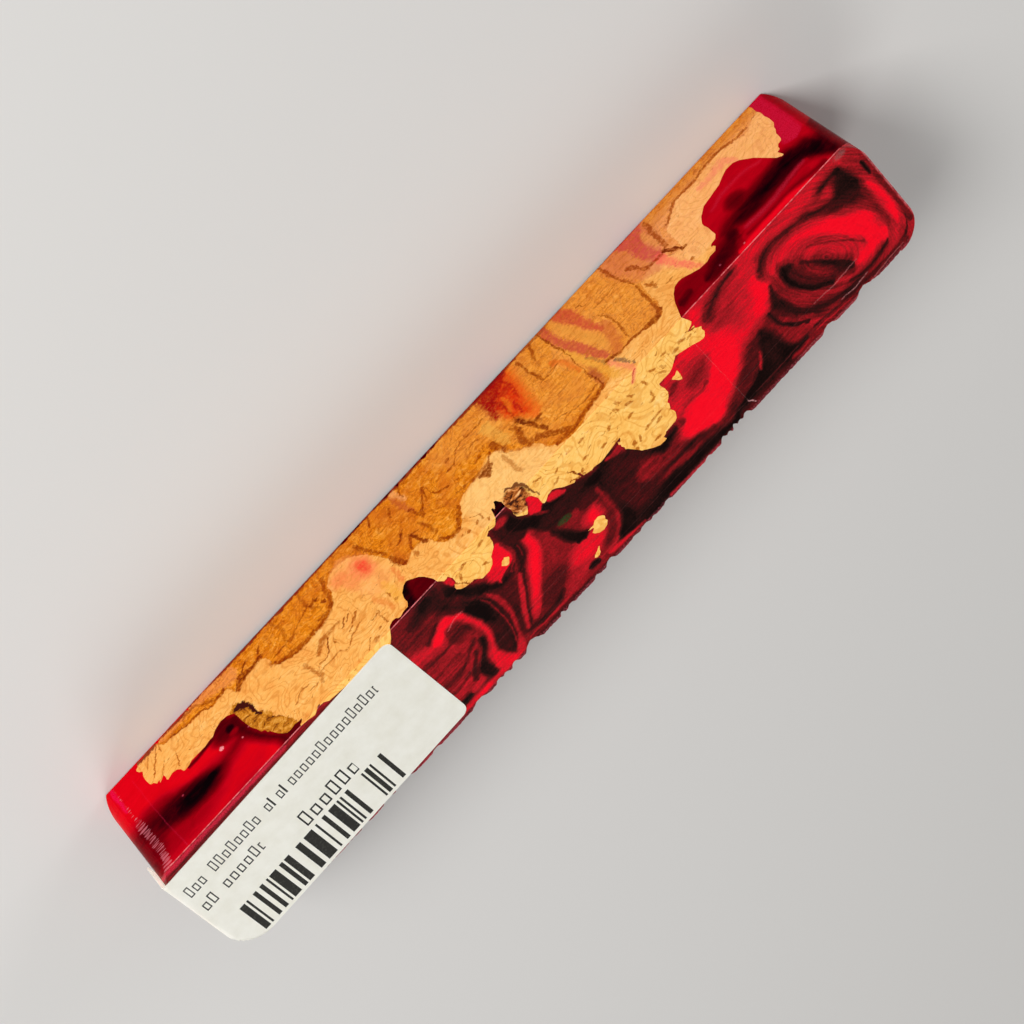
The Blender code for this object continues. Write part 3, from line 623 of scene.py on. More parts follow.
# The resin's strokes, from the first laid to the last. A stroke runs along x or along s and has a tone
# from 0, black, to 1, bright red, a softness, and points: place along, centre across and half width.
# A spot has its centre in x and s, two half widths and a turn in degrees. All in mm.
TOP_STROKES = [
    # under the label, and the layers beside it
    ("x", 0.42, 3, [(61, 30, 8), (24, 30, 8)]),
    ("x", 0.36, 0.5, [(62, 20, 1.2), (40, 20, 1.2), (24, 20.4, 1.6)]),
    ("x", 0.33, 0.5, [(24, 21.9, 2.6), (12.5, 22, 2.6)]),
    ("x", 0.4, 0.35, [(24, 23.9, 0.5), (20, 23.7, 0.55), (17.5, 23.3, 0.5), (16, 23, 0.3)]),
    ("x", 0.14, 0.2, [(23, 23, 0.12), (20.5, 22.9, 0.15), (18.8, 22.6, 0.12), (16.5, 22.4, 0.2)]),
    ("spot", 0.38, 0.35, (19.4, 21.2, 0.95, 0.75, 0)),
    ("x", 0.03, 0.22, [(18.9, 22, 0.15), (17.8, 21.7, 0.4), (16.8, 21.2, 0.65), (15.2, 20.8, 1.05),
        (14.7, 20.7, 0.8), (14.4, 20.6, 0.3)]),
    ("s", 0.13, 0.4, [(19.5, 13.3, 0.9), (21, 13.6, 1.1), (22.5, 14.2, 1.2), (23.5, 14, 1),
        (25.4, 12.9, 0.5)]),
    ("s", 0.3, 0.3, [(19.4, 12.6, 0.35), (21, 12.7, 0.4), (22.5, 12.6, 0.4)]),
    ("s", 0.76, 0.12, [(20.3, 11.3, 0.45), (21, 11.25, 0.5), (21.8, 11.1, 0.35)]),
    # inside the arc
    ("x", 0.52, 0.4, [(24, 31.8, 4.2), (18, 31.8, 4.2), (15.5, 31.2, 4.2), (14.3, 30.8, 3.8),
        (13.6, 30.5, 3)]),
    ("x", 0.27, 0.2, [(24, 28, 0.25), (20, 28.1, 0.25), (18, 28.4, 0.2), (16.5, 28, 0.15)]),
    ("x", 0.55, 0.3, [(24, 29.7, 0.35), (19.5, 29.8, 0.4), (16.5, 29.6, 0.3)]),
    ("x", 0.36, 0.2, [(24, 30.5, 0.12), (17, 30.6, 0.1)]),
    ("x", 0.55, 0.25, [(24, 31.3, 0.3), (20, 31.4, 0.3), (18, 31.3, 0.25)]),
    ("x", 0.26, 0.3, [(16.4, 28.3, 0.6), (15.2, 28, 1.2), (14.3, 28.2, 1.2), (13.7, 28.6, 0.9)]),
    ("x", 0.27, 0.2, [(24, 32.7, 0.3), (20, 32.9, 0.35), (18, 32.6, 0.35), (15.4, 31, 0.25),
        (14.4, 30.6, 0.3)]),
    ("x", 0.5, 0.2, [(24, 33.5, 0.2), (20, 33.7, 0.2), (18.5, 33.4, 0.2), (17, 32.6, 0.15)]),
    ("x", 0.3, 0.2, [(24, 34.3, 0.25), (20, 34.5, 0.25), (18, 34, 0.2)]),
    ("x", 0.66, 0.25, [(24, 35.3, 0.4), (20.5, 35.3, 0.45), (19.3, 35, 0.35), (18.3, 34.8, 0.2)]),
    ("x", 0.3, 0.12, [(24, 35.95, 0.12), (20, 35.95, 0.12)]),
    ("x", 0.05, 0.12, [(21.9, 36.7, 0.4), (20.8, 36.75, 0.45), (19.9, 36.7, 0.35)]),
    ("x", 0.62, 0.25, [(19.4, 36.6, 0.4), (18.5, 36.4, 0.6), (17.6, 36.2, 0.7), (17.2, 36, 0.5)]),
    ("s", 0.2, 0.2, [(32.2, 15.6, 0.4), (33.4, 16.6, 0.4), (34.6, 17.6, 0.45), (35.6, 18, 0.3)]),
    ("s", 0.06, 0.2, [(31.3, 13.9, 0.35), (32, 14, 0.55), (32.8, 14.4, 0.5), (34.5, 16, 0.8),
        (35.3, 16.3, 0.95), (37, 15.9, 0.8), (37.4, 15.9, 0.4)]),
    ("s", 0.38, 0.08, [(32.3, 14.7, 0.06), (33.2, 15.4, 0.1), (34, 16.1, 0.1), (34.6, 16.5, 0.05)]),
    ("x", 0.78, 0.2, [(24, 37.7, 0.35), (20, 37.8, 0.4), (17.5, 37.85, 0.45), (15, 37.8, 0.45),
        (13, 37.9, 0.3)]),
    ("spot", 0.95, 0.2, (18.1, 37.9, 0.7, 0.35, 0)),
    # the upright bundle
    ("s", 0.1, 0.35, [(24.5, 11.6, 0.6), (25.5, 11.3, 1.3), (26.5, 10.9, 1.9), (28, 10.6, 2.2),
        (30, 10.3, 2.3), (32, 10.3, 2.4), (34, 10.9, 2.3), (37.2, 11.6, 0.6)]),
    ("s", 0.01, 0.25, [(26.2, 12.2, 0.45), (27.2, 11.9, 0.75), (28.2, 11.5, 0.9), (30.2, 11.3, 0.5),
        (31, 11.3, 0.3)]),
    ("s", 0.2, 0.3, [(30.5, 11.7, 0.3), (32, 11.6, 0.5), (35, 12, 0.4), (36, 12, 0.3)]),
    ("s", 0.42, 0.1, [(26.8, 10.3, 0.08), (27.6, 10, 0.14), (28.6, 9.8, 0.17), (33, 10.05, 0.16),
        (36, 11, 0.15), (37, 11.3, 0.15)]),
    ("s", 0.22, 0.4, [(28, 6.8, 1.4), (30, 7.2, 1.3), (34, 8.6, 0.9), (36, 9.2, 0.7)]),
    ("s", 0.55, 0.16, [(26.6, 9.5, 0.15), (27.4, 9.15, 0.35), (29.5, 8.68, 0.45), (32.2, 8.9, 0.4),
        (34.5, 9.75, 0.32), (36.3, 10.5, 0.4), (37.1, 10.9, 0.55), (37.7, 11.1, 0.6)]),
    ("s", 0.72, 0.15, [(36.2, 10.7, 0.25), (36.8, 10.9, 0.6), (37.4, 11.2, 0.75), (37.9, 11.5, 0.7)]),
    # the arc
    ("x", 0.78, 0.45, [(24, 26, 1), (21, 26.1, 1), (18.3, 26.7, 0.85), (17.4, 26.6, 1)]),
    ("x", 0.22, 0.2, [(19, 25.6, 0.25), (18, 25.2, 0.3), (17, 24.7, 0.25), (16.2, 24.2, 0.15)]),
    ("s", 0.86, 0.16, [(25.9, 13.6, 0.35), (27.5, 13.15, 0.5), (30.5, 12.55, 0.45), (32.5, 12.95, 0.4),
        (34.8, 14.1, 0.55), (35.4, 14.15, 0.8), (37, 13.9, 1.35), (37.8, 13.6, 1.5)]),
    ("x", 0.97, 0.18, [(18.4, 26.5, 0.45), (17.5, 26.3, 0.8), (16.1, 25.3, 0.75), (15.4, 25.2, 0.85),
        (13.6, 26.1, 0.35), (13.2, 26.3, 0.2)]),
    # below the burl's lobe, with the bright corner that holds a chip
    ("x", 0.06, 0.25, [(12.2, 22.2, 1.2), (11.2, 23.6, 1.1), (7.8, 26.8, 1), (6.9, 27.5, 0.6),
        (5.6, 27.6, 0.4), (4.9, 27.3, 0.3), (4.4, 26.9, 0.25)]),
    ("x", 0.27, 0.2, [(12.4, 24.2, 0.25), (11.8, 24.8, 0.3), (10.2, 26.4, 0.32), (9.5, 26.9, 0.25)]),
    ("s", 0.1, 0.2, [(23.5, 2.4, 0.9), (24.5, 2.3, 0.85), (26.5, 2.5, 0.9), (28, 3.6, 0.5),
        (28.6, 4.2, 0.3)]),
    ("s", 0.35, 0.08, [(25, 2.1, 0.06), (26, 2.2, 0.1), (27, 2.5, 0.1)]),
    ("s", 0.95, 0.12, [(22.5, 3.9, 0.3), (23.2, 4.4, 1), (24, 4.6, 1.3), (24.8, 5.4, 2.1),
        (25.6, 5.3, 1.9), (26.3, 5.6, 1.4), (26.8, 6.55, 0.45), (27.4, 6.9, 0.1)]),
    ("spot", 0.74, 0.4, (6.7, 25.9, 0.9, 0.6, 0)),
    ("s", 0.5, 0.15, [(22.8, 3.35, 0.15), (24, 3.15, 0.25), (25.4, 3.2, 0.3), (26.3, 3.7, 0.3),
        (26.9, 4.4, 0.25), (27.4, 5, 0.2)]),
    # the slanting bands
    ("s", 0.52, 0.5, [(28.5, -0.9, 1.2), (31.5, -0.8, 2.4), (33, -1, 3), (35, -1, 3.5), (36.5, -1, 3.5)]),
    ("spot", 0.3, 0.8, (2.6, 34.6, 2.4, 1.3, 30)),
    ("s", 0.5, 0.2, [(25.2, -0.3, 0.2), (26.2, -0.7, 0.4), (27.2, -1.1, 0.6), (28.2, -1.3, 0.8)]),
    ("s", 0.68, 0.18, [(28.6, 4.6, 0.2), (29.4, 5, 0.35), (31.4, 6.2, 0.5), (33.4, 7.45, 0.45),
        (35.3, 8.4, 0.32), (36, 8.7, 0.2)]),
    ("s", 0.8, 0.2, [(24, 0.55, 0.25), (26, 0.7, 0.7), (27, 0.75, 0.85), (28, 1.35, 1.2), (29, 2, 1.4),
        (31, 3.4, 1.1), (34, 5.7, 0.75), (35, 6.45, 0.65), (35.7, 7, 0.4)]),
    ("s", 1, 0.25, [(24.6, 0.6, 0.15), (26.6, 0.6, 0.4), (27.6, 0.9, 0.55), (28.6, 1.6, 0.8),
        (30.6, 3.2, 0.7), (32.6, 4.6, 0.45), (33.4, 5.2, 0.2)]),
    ("s", 0.76, 0.35, [(33.6, 5.3, 0.5), (34.4, 6, 0.6), (35.4, 6.7, 0.6)]),
    ("s", 0.22, 0.12, [(28.6, 3.8, 0.3), (29.4, 4.35, 0.2), (31.4, 5.5, 0.15), (34.4, 7.35, 0.15),
        (35.4, 7.8, 0.15), (36, 8.2, 0.1)]),
    ("x", 0.15, 0.2, [(8.8, 36.5, 0.2), (8, 36.6, 0.35), (6.5, 36.9, 0.35), (5, 36.8, 0.3),
        (3.5, 36.5, 0.4), (2.2, 36, 0.4)]),
    ("x", 0.62, 0.12, [(9.6, 37.3, 0.1), (8, 37.3, 0.12), (6, 37.4, 0.15), (3, 37.4, 0.15),
        (1, 37.3, 0.2)]),
    ("spot", 0.66, 0.7, (-2.6, 35, 3.2, 1, 22)),
    ("spot", 0.86, 0.7, (-4.1, 34, 2.2, 1.2, 0)),
    # the black middle
    ("s", 0.13, 0.25, [(20, 1.3, 1.4), (21.5, 1.4, 1.9), (22.5, 1.2, 2.1), (23.3, 0.9, 2.3)]),
    ("s", 0.03, 0.4, [(21, 0.4, 0.5), (22, 0.6, 0.9), (23, 0.4, 1), (23.8, -0.1, 0.6)]),
    ("spot", 0.6, 0.2, (1.5, 20.6, 0.9, 0.5, 0)),
    ("s", 0.08, 0.3, [(27.6, -13.5, 3.2), (29, -14, 3.6), (33, -14.8, 4.4), (35, -14.4, 5),
        (36.5, -13.5, 6), (37.3, -13.5, 6)]),
    ("x", 0.24, 0.3, [(-4.6, 28.6, 0.8), (-7.5, 28.7, 1.2), (-10, 28.5, 0.9)]),
    ("x", 0.03, 0.25, [(0.2, 23.3, 0.8), (-0.6, 23.9, 1.1), (-1.4, 24.9, 1.7), (-2.4, 25.5, 2.2),
        (-3.4, 25.6, 2.2), (-4.6, 25.7, 1.9), (-6, 25.9, 1.7), (-9, 26.5, 1.1), (-12, 27.3, 1),
        (-13.5, 27.6, 1.1), (-16, 28.8, 1.2), (-17, 29.8, 1.2)]),
    ("x", 0.8, 0.12, [(-13.2, 26.25, 0.12), (-14.2, 26.5, 0.35), (-15.2, 26.7, 0.6), (-15.9, 26.8, 0.75),
        (-16.3, 26.6, 0.6)]),
    ("x", 0.8, 0.15, [(-4.6, 23.75, 0.3), (-5.4, 23.9, 0.6), (-6.2, 24.2, 0.6), (-7, 24.7, 0.2)]),
    ("x", 0.36, 0.12, [(-1.4, 23, 0.15), (-2.3, 23.8, 0.3), (-3.1, 24.5, 0.3), (-3.8, 25, 0.12)]),
    ("s", 0.93, 0.12, [(20.9, -3.1, 0.2), (21.6, -3.2, 0.5), (22.2, -3.1, 0.85), (22.8, -2.9, 1.1),
        (23.3, -2.9, 1.1), (23.6, -3, 0.7)]),
    ("spot", 0.5, 0.3, (-5.3, 29.2, 1, 0.5, -10)),
    ("spot", 0.5, 0.2, (-5.9, 28.4, 0.4, 0.3, 0)),
    ("x", 0.38, 0.1, [(-6.8, 29.4, 0.1), (-8, 29.5, 0.12), (-9, 29.7, 0.12)]),
    ("s", 0.05, 0.2, [(27.8, -2.2, 0.35), (28.8, -2.7, 0.6), (30.8, -3.4, 0.9), (31.5, -3.8, 1),
        (32.1, -4.3, 1), (32.5, -4.5, 0.6)]),
    ("x", 0.05, 0.15, [(-3.5, 32.2, 0.4), (-4.6, 32.2, 0.3), (-5.4, 32, 0.12)]),
    ("spot", 0.93, 0.5, (-7.7, 31.1, 1.6, 0.95, 0)),
    ("s", 0.36, 0.3, [(30, -9.3, 0.6), (31.5, -9.1, 0.7), (33, -9, 0.8), (34.5, -8.4, 1.2),
        (35.8, -7.2, 1.8)]),
    ("s", 0.5, 0.15, [(28.3, -9.9, 0.3), (31, -10.15, 0.35), (32.5, -10.05, 0.35), (34.8, -9, 0.35),
        (35.7, -8.2, 0.4), (36.5, -7.2, 0.5)]),
    ("spot", 0.32, 0.9, (-15.3, 33, 2.4, 1.9, 0)),
    ("spot", 0.5, 0.6, (-17.4, 33.5, 1.2, 0.8, 0)),
    ("s", 0.01, 0.2, [(28.3, -10.8, 0.3), (30, -10.9, 0.5), (32, -10.8, 0.5), (35, -10.4, 0.9),
        (36, -9.8, 1.3), (36.9, -9, 1.4)]),
    ("s", 0.24, 0.15, [(30.5, -11.9, 0.15), (32, -12, 0.2), (34, -12.5, 0.25), (35.3, -13.6, 0.2)]),
    ("x", 0.62, 0.12, [(-3.5, 36.8, 0.12), (-5, 36.9, 0.2), (-6.5, 36.9, 0.2), (-7.6, 36.6, 0.15)]),
    ("x", 0.74, 0.15, [(-5.2, 37.4, 0.2), (-6.5, 37.6, 0.35), (-11.4, 38.1, 0.2)]),
    ("x", 0.05, 0.15, [(-2.1, 36.8, 0.3), (-3, 36.8, 0.45), (-3.7, 36.9, 0.35)]),
    ("x", 0.22, 0.2, [(22, 38.6, 0.3), (13, 38.7, 0.3), (8, 38.3, 0.5), (-1, 38.4, 0.5), (-5, 38.5, 0.4),
        (-12, 38.6, 0.3)]),
    # the bright sweep
    ("s", 0.86, 0.5, [(19.4, -38.5, 6), (22, -38.5, 6), (24, -35, 9.5), (26, -33.7, 10), (28, -33, 10),
        (30, -31.5, 8), (32, -29, 6), (34, -27, 4.5), (35.2, -27, 2.5)]),
    ("x", 0.42, 0.4, [(-16.5, 33.4, 0.7), (-18, 33.6, 1), (-20, 33.6, 1), (-22, 33.9, 0.8)]),
    ("s", 0.99, 0.5, [(20.5, -34, 0.8), (22.5, -34.2, 1), (24.5, -34.2, 1.4), (26.5, -33.9, 2),
        (28, -33.6, 2.4), (29.5, -32.6, 3), (31, -30.2, 4.4), (32.5, -28, 5.2), (34, -26.9, 3.6),
        (35.2, -27.3, 1.6)]),
    ("s", 1, 0.4, [(23.8, -41.8, 1), (26.5, -41.6, 1.5), (28, -41.3, 1.3), (28.8, -41, 0.8)]),
    ("s", 0.72, 0.7, [(20, -39, 3.2), (22.5, -39.2, 3.2), (24.5, -38.8, 2.4), (26.8, -38, 1.8)]),
    ("x", 0.4, 0.45, [(-24.6, 26.8, 0.5), (-25.6, 26.4, 0.8), (-26.4, 26.2, 0.6)]),
    ("spot", 0.74, 0.5, (-25.8, 28.6, 1.2, 0.9, 0)),
    ("x", 0.46, 0.6, [(-27.4, 27.8, 1.3), (-28.6, 27.6, 1.9), (-29.8, 27.3, 1.6), (-31, 26.9, 0.8)]),
    ("x", 0.42, 0.2, [(-24, 30.3, 0.15), (-25, 29.9, 0.15), (-26.4, 29.8, 0.15), (-28, 30.1, 0.15),
        (-29.3, 29.6, 0.3)]),
    ("x", 0.72, 0.3, [(-28, 24.7, 0.5), (-29, 24.6, 0.4)]),
    ("x", 0.55, 0.4, [(-35.2, 23.6, 0.7), (-36.4, 23.6, 0.7), (-37.2, 23.3, 0.4)]),
    ("x", 0.06, 0.15, [(-35.1, 22.3, 0.35), (-35.8, 22.1, 0.5), (-36.5, 21.7, 0.6), (-37.3, 21.3, 0.5),
        (-37.9, 20.9, 0.3), (-39, 20.5, 0.15), (-41, 20.2, 0.1)]),
    ("x", 0.03, 0.2, [(-15.8, 29.4, 0.9), (-16.8, 30.4, 0.95), (-18.8, 31.7, 0.75), (-19.8, 31.8, 0.65),
        (-20.8, 31.6, 0.6), (-21.8, 31.4, 0.4), (-22.7, 31.2, 0.2)]),
    ("spot", 0.35, 0.2, (-23.4, 31.2, 0.5, 0.4, 0)),
    # the dark base and the mountain
    ("x", 0.14, 0.35, [(-17.5, 34.8, 0.3), (-20, 34.9, 0.4), (-22.5, 34.9, 0.5), (-24.5, 35.4, 0.5),
        (-26, 36, 0.5)]),
    ("x", 0.3, 0.3, [(-24, 36.2, 0.3), (-28, 36.4, 0.6), (-30, 36.2, 0.8)]),
    ("x", 0.03, 0.25, [(-14, 37.2, 0.5), (-16, 37, 0.6), (-18, 37.2, 0.9), (-24, 37.3, 0.9),
        (-28, 37.7, 0.6), (-30, 38, 0.4)]),
    ("x", 0.5, 0.2, [(-15.8, 35.4, 0.3), (-18, 35.4, 0.4), (-21.5, 35.9, 0.3), (-22.4, 36.1, 0.15)]),
    ("x", 0.6, 0.12, [(-16, 38.3, 0.25), (-21, 38.5, 0.2), (-25, 38.55, 0.15)]),
    ("x", 0.3, 0.5, [(-29.5, 35.5, 0.8), (-31.5, 35, 1.2), (-33.5, 34, 1.6), (-35.3, 32.6, 1.9),
        (-38, 30.6, 0.9), (-39, 30.2, 0.6), (-40.3, 30.2, 0.7), (-41.5, 30.8, 0.9)]),
    ("s", 0.4, 0.3, [(31, -41.2, 0.6), (32.5, -41.8, 0.9), (34, -42, 1.3), (35.3, -41.8, 1.6)]),
    ("s", 0.05, 0.25, [(30.5, -38.6, 0.4), (32, -38.4, 1.4), (33, -38.2, 1.7), (35, -37.3, 2.9),
        (35.8, -36.6, 4), (36.6, -35.5, 5.5), (37.3, -34.5, 6)]),
    ("x", 0.06, 0.2, [(-30, 37.2, 0.5), (-33, 37.2, 0.6), (-36, 37.4, 0.7), (-40, 37.3, 0.8),
        (-42, 37.1, 0.6), (-44, 36.9, 0.4)]),
    ("x", 0.3, 0.08, [(-33, 36.9, 0.05), (-36, 37, 0.08), (-41, 36.8, 0.05)]),
    ("s", 0.6, 0.15, [(32.8, -36.7, 0.15), (33.6, -36.3, 0.3), (34.4, -35.8, 0.3), (35, -35.5, 0.15)]),
    ("x", 0.58, 0.15, [(-39.4, 37.6, 0.15), (-40.5, 37.7, 0.3), (-41.8, 37.6, 0.3), (-42.8, 37.5, 0.15)]),
    ("s", 0.62, 0.15, [(31.2, -41.7, 0.15), (32, -42, 0.35), (32.8, -42.4, 0.3), (33.4, -42.8, 0.15)]),
    ("s", 0.42, 0.15, [(32.8, -40.5, 0.12), (33.6, -41, 0.25), (34.4, -41.5, 0.2)]),
    # the swirl
    ("s", 0.6, 0.5, [(19.4, -53.3, 10), (25, -53.5, 10), (38, -53.5, 10)]),
    ("x", 0.78, 0.3, [(-43, 20.4, 0.9), (-50, 20.6, 0.9), (-56, 20.6, 0.9), (-60, 20.8, 0.8)]),
    ("x", 0.36, 0.2, [(-43, 37.2, 0.5), (-46, 37.5, 0.7), (-50, 37.9, 0.8), (-58, 38.2, 0.6),
        (-60.5, 37.8, 0.6)]),
    ("s", 1, 0.4, [(23.8, -42.4, 0.6), (25, -42.4, 0.8), (26.5, -42.3, 0.7), (27.5, -42, 0.5)]),
    ("s", 0.1, 0.25, [(26.6, -43.4, 0.25), (27.6, -43.1, 0.5), (29.6, -42.4, 0.8), (30.4, -42.9, 0.6),
        (31.4, -43.3, 0.5)]),
    ("s", 0.08, 0.15, [(29.4, -40.9, 0.25), (30.5, -41, 0.3), (31.5, -41, 0.25), (32.4, -41.4, 0.2),
        (33.4, -42.1, 0.35), (34.4, -43, 0.4), (35.2, -44, 0.4)]),
    ("x", 0.4, 0.35, [(-43.3, 24.2, 0.9), (-44.3, 23.2, 1), (-48, 22.2, 0.7), (-50, 22.4, 0.5),
        (-52.5, 23, 0.6), (-54.5, 23.9, 0.6), (-56.5, 24.8, 0.9)]),
    ("x", 0.8, 0.3, [(-45, 25.2, 0.9), (-46.5, 24.3, 0.9), (-48, 24.1, 0.9), (-52, 24.7, 0.8),
        (-54, 25.6, 0.5), (-55, 26.2, 0.3)]),
    ("x", 0.1, 0.2, [(-43.6, 23.3, 0.25), (-44.6, 22.6, 0.3), (-47, 21.8, 0.22), (-48.5, 22.1, 0.15),
        (-51.2, 22.6, 0.2), (-52.2, 22.8, 0.35), (-53.2, 23.3, 0.4), (-55.2, 24.2, 0.3),
        (-59.3, 25.2, 1.3), (-60, 25, 0.9)]),
    ("x", 0.1, 0.18, [(-55.6, 21.75, 0.12), (-56.6, 21.6, 0.3), (-58.6, 21.5, 0.3), (-59.5, 21.7, 0.3)]),
    ("s", 0.08, 0.2, [(21.4, -59.2, 0.35), (23.2, -59.35, 0.55), (24.2, -59.3, 0.7), (25.2, -59.2, 0.9),
        (26.2, -59.3, 0.75), (27, -59.7, 0.5), (28, -59.9, 0.25)]),
    ("x", 0.7, 0.15, [(-55.6, 22.9, 0.3), (-57, 23, 0.5), (-58.2, 23.2, 0.35), (-58.6, 23.3, 0.15)]),
    ("x", 1, 0.25, [(-50.5, 24.9, 0.2), (-51.8, 25.4, 0.6), (-55.3, 28.6, 1.9), (-56.3, 30.2, 2.6),
        (-57.2, 31.4, 3.4), (-58.2, 32, 3.3), (-59, 32.2, 2.6), (-59.5, 32.4, 1.6)]),
    ("x", 0.97, 0.25, [(-53.6, 34.4, 0.6), (-54.8, 34.4, 1.1), (-58.6, 34.2, 1.2)]),
    ("x", 0.7, 0.3, [(-47.5, 26, 0.6), (-49, 26.8, 1), (-52, 29.3, 1.6), (-53.5, 30.8, 1.9),
        (-55.8, 32.3, 1), (-56.4, 32.5, 0.4)]),
    ("x", 0.42, 0.15, [(-50, 26.6, 0.1), (-51.5, 27.6, 0.12), (-54.4, 30.4, 0.2), (-55.5, 31.8, 0.3),
        (-56.2, 32.8, 0.2)]),
    ("x", 0.44, 0.3, [(-46.2, 28.5, 1.2), (-47.5, 29.6, 1.8), (-49, 30.7, 2), (-51.8, 32.6, 1.4),
        (-52.8, 33.5, 0.8)]),
    ("s", 0.62, 0.2, [(26, -44.3, 0.35), (27.5, -43.9, 0.45), (30.5, -44.2, 0.45), (32.8, -45.6, 0.6),
        (34.2, -48.3, 1.1), (34.6, -50, 1.3)]),
    ("s", 0.06, 0.15, [(26, -46, 0.3), (26.8, -45.7, 0.45), (27.8, -45.5, 0.45), (28.8, -45.7, 0.45),
        (29.8, -46, 0.45), (30.8, -46.6, 0.5), (31.8, -47.3, 0.6), (32.6, -48.2, 0.7), (33.3, -49.2, 0.7),
        (33.8, -49.7, 0.4)]),
    ("spot", 0.1, 0.2, (-46.3, 26.7, 0.7, 0.5, 0)),
    ("x", 0.1, 0.15, [(-48.2, 27.7, 0.1), (-49.2, 28.6, 0.2), (-50.8, 30.7, 0.4), (-52.4, 33.2, 0.9),
        (-53.2, 34, 0.5)]),
    ("s", 0.09, 0.15, [(29.6, -43.1, 0.25), (32.2, -43.7, 0.4), (34.2, -45.2, 0.55), (35.7, -47.6, 0.9),
        (36.3, -49.3, 1.3), (36.6, -51, 1.6)]),
    ("x", 0.16, 0.12, [(-51.5, 35.7, 0.1), (-53.5, 36.4, 0.15), (-55.5, 36.5, 0.15), (-57, 36.2, 0.2),
        (-58.2, 35.8, 0.25), (-58.7, 35.5, 0.1)]),
    ("x", 0.72, 0.2, [(-54, 37, 0.25), (-56, 37, 0.3), (-58, 36.7, 0.4), (-60, 36, 0.5), (-61, 35.2, 0.4)]),
    ("x", 0.18, 0.1, [(-44, 36.6, 0.15), (-46.5, 36.9, 0.2), (-49, 37.3, 0.15), (-56, 37.7, 0.15),
        (-58.5, 37.8, 0.25), (-60.5, 37.3, 0.25), (-61.8, 36.2, 0.2), (-62.5, 34.8, 0.15)]),
    ("x", 0.8, 0.08, [(-44, 37.3, 0.08), (-47, 37.6, 0.1), (-50, 37.9, 0.08), (-54, 38, 0.06)]),
    ("s", 0.5, 0.15, [(26.5, -60.4, 0.35), (29, -60.4, 0.3), (31, -60.5, 0.3), (33, -60.4, 0.3),
        (35, -59.8, 0.4)]),
    ("s", 0.35, 0.12, [(26, -62.8, 0.35), (33, -62.8, 0.35), (36, -62.6, 0.5)]),
    ("s", 1, 0.18, [(26.4, -61.3, 0.25), (27.5, -61.5, 0.5), (31, -61.6, 0.7), (34.2, -61.3, 0.4),
        (34.9, -61.1, 0.15)]),
    ("s", 0.08, 0.12, [(23.4, -62.3, 0.15), (24.2, -62.4, 0.28), (25, -62.4, 0.28), (25.9, -62.3, 0.12)]),
    ("x", 0.58, 0.2, [(64, 19.9, 0.35), (52, 19.8, 0.3), (30, 19.8, 0.2)]),
    # softer dark and dusty patches
    ("spot", 0.36, 1, (19.8, 22.6, 3, 1.4, 0)),
    ("x", 0.04, 0.5, [(18.6, 21.7, 0.3), (16.8, 21.3, 0.6), (15.4, 20.9, 0.9), (14.6, 20.7, 0.4)]),
    ("spot", 0.13, 1, (-5.5, 26.2, 3, 0.8, 0)),
    ("spot", 0.2, 1.5, (-14.5, 31.5, 2.6, 3.2, 0)),
    ("spot", 0.48, 1.2, (-16.5, 32.5, 1.5, 1, 0)),
    ("spot", 0.6, 1.2, (-36.3, 23, 1.9, 1.8, 0)),
    ("x", 0.1, 0.9, [(-34.8, 22.4, 0.3), (-35.8, 21.9, 0.55), (-38.5, 20.4, 0.25), (-41, 20.1, 0.15)]),
    ("s", 0.12, 1, [(28.5, -42.6, 0.5), (30.5, -43, 0.8), (32.5, -43.8, 0.9), (34, -45, 0.9),
        (35.2, -46.6, 0.7)]),
    ("x", 0.14, 0.8, [(-46, 35.3, 0.5), (-49, 36.3, 0.5), (-52, 36.7, 0.5), (-55, 36.6, 0.35),
        (-58, 36, 0.2)]),
    ("s", 0.06, 1, [(26, -45.9, 0.3), (27.5, -45.8, 0.7), (29, -46.2, 0.85), (32, -48.1, 0.6),
        (33.3, -49.6, 0.4)]),
    ("s", 0.09, 0.8, [(27.5, -48.4, 0.15), (29, -49.5, 0.3), (30.5, -50.6, 0.4), (32, -51.6, 0.8),
        (33.4, -52, 1.1), (34.3, -52.4, 0.5)]),
    ("spot", 0.04, 0.9, (-58.9, 24.6, 1.3, 1.9, 0)),
    ("x", 0.12, 0.8, [(-55.5, 21.6, 0.2), (-57.5, 21.2, 0.35), (-59.2, 21.5, 0.5)]),
    ("spot", 0.22, 0.9, (-57, 25.6, 1.8, 0.6, -20)),
    ("s", 0.36, 0.8, [(27, -60, 0.5), (30, -60.2, 0.6), (33, -59.9, 0.5)]),
    ("x", 0.38, 0.6, [(-30, 38.2, 0.4), (-45, 38.3, 0.4), (-60, 37.8, 0.4)])]

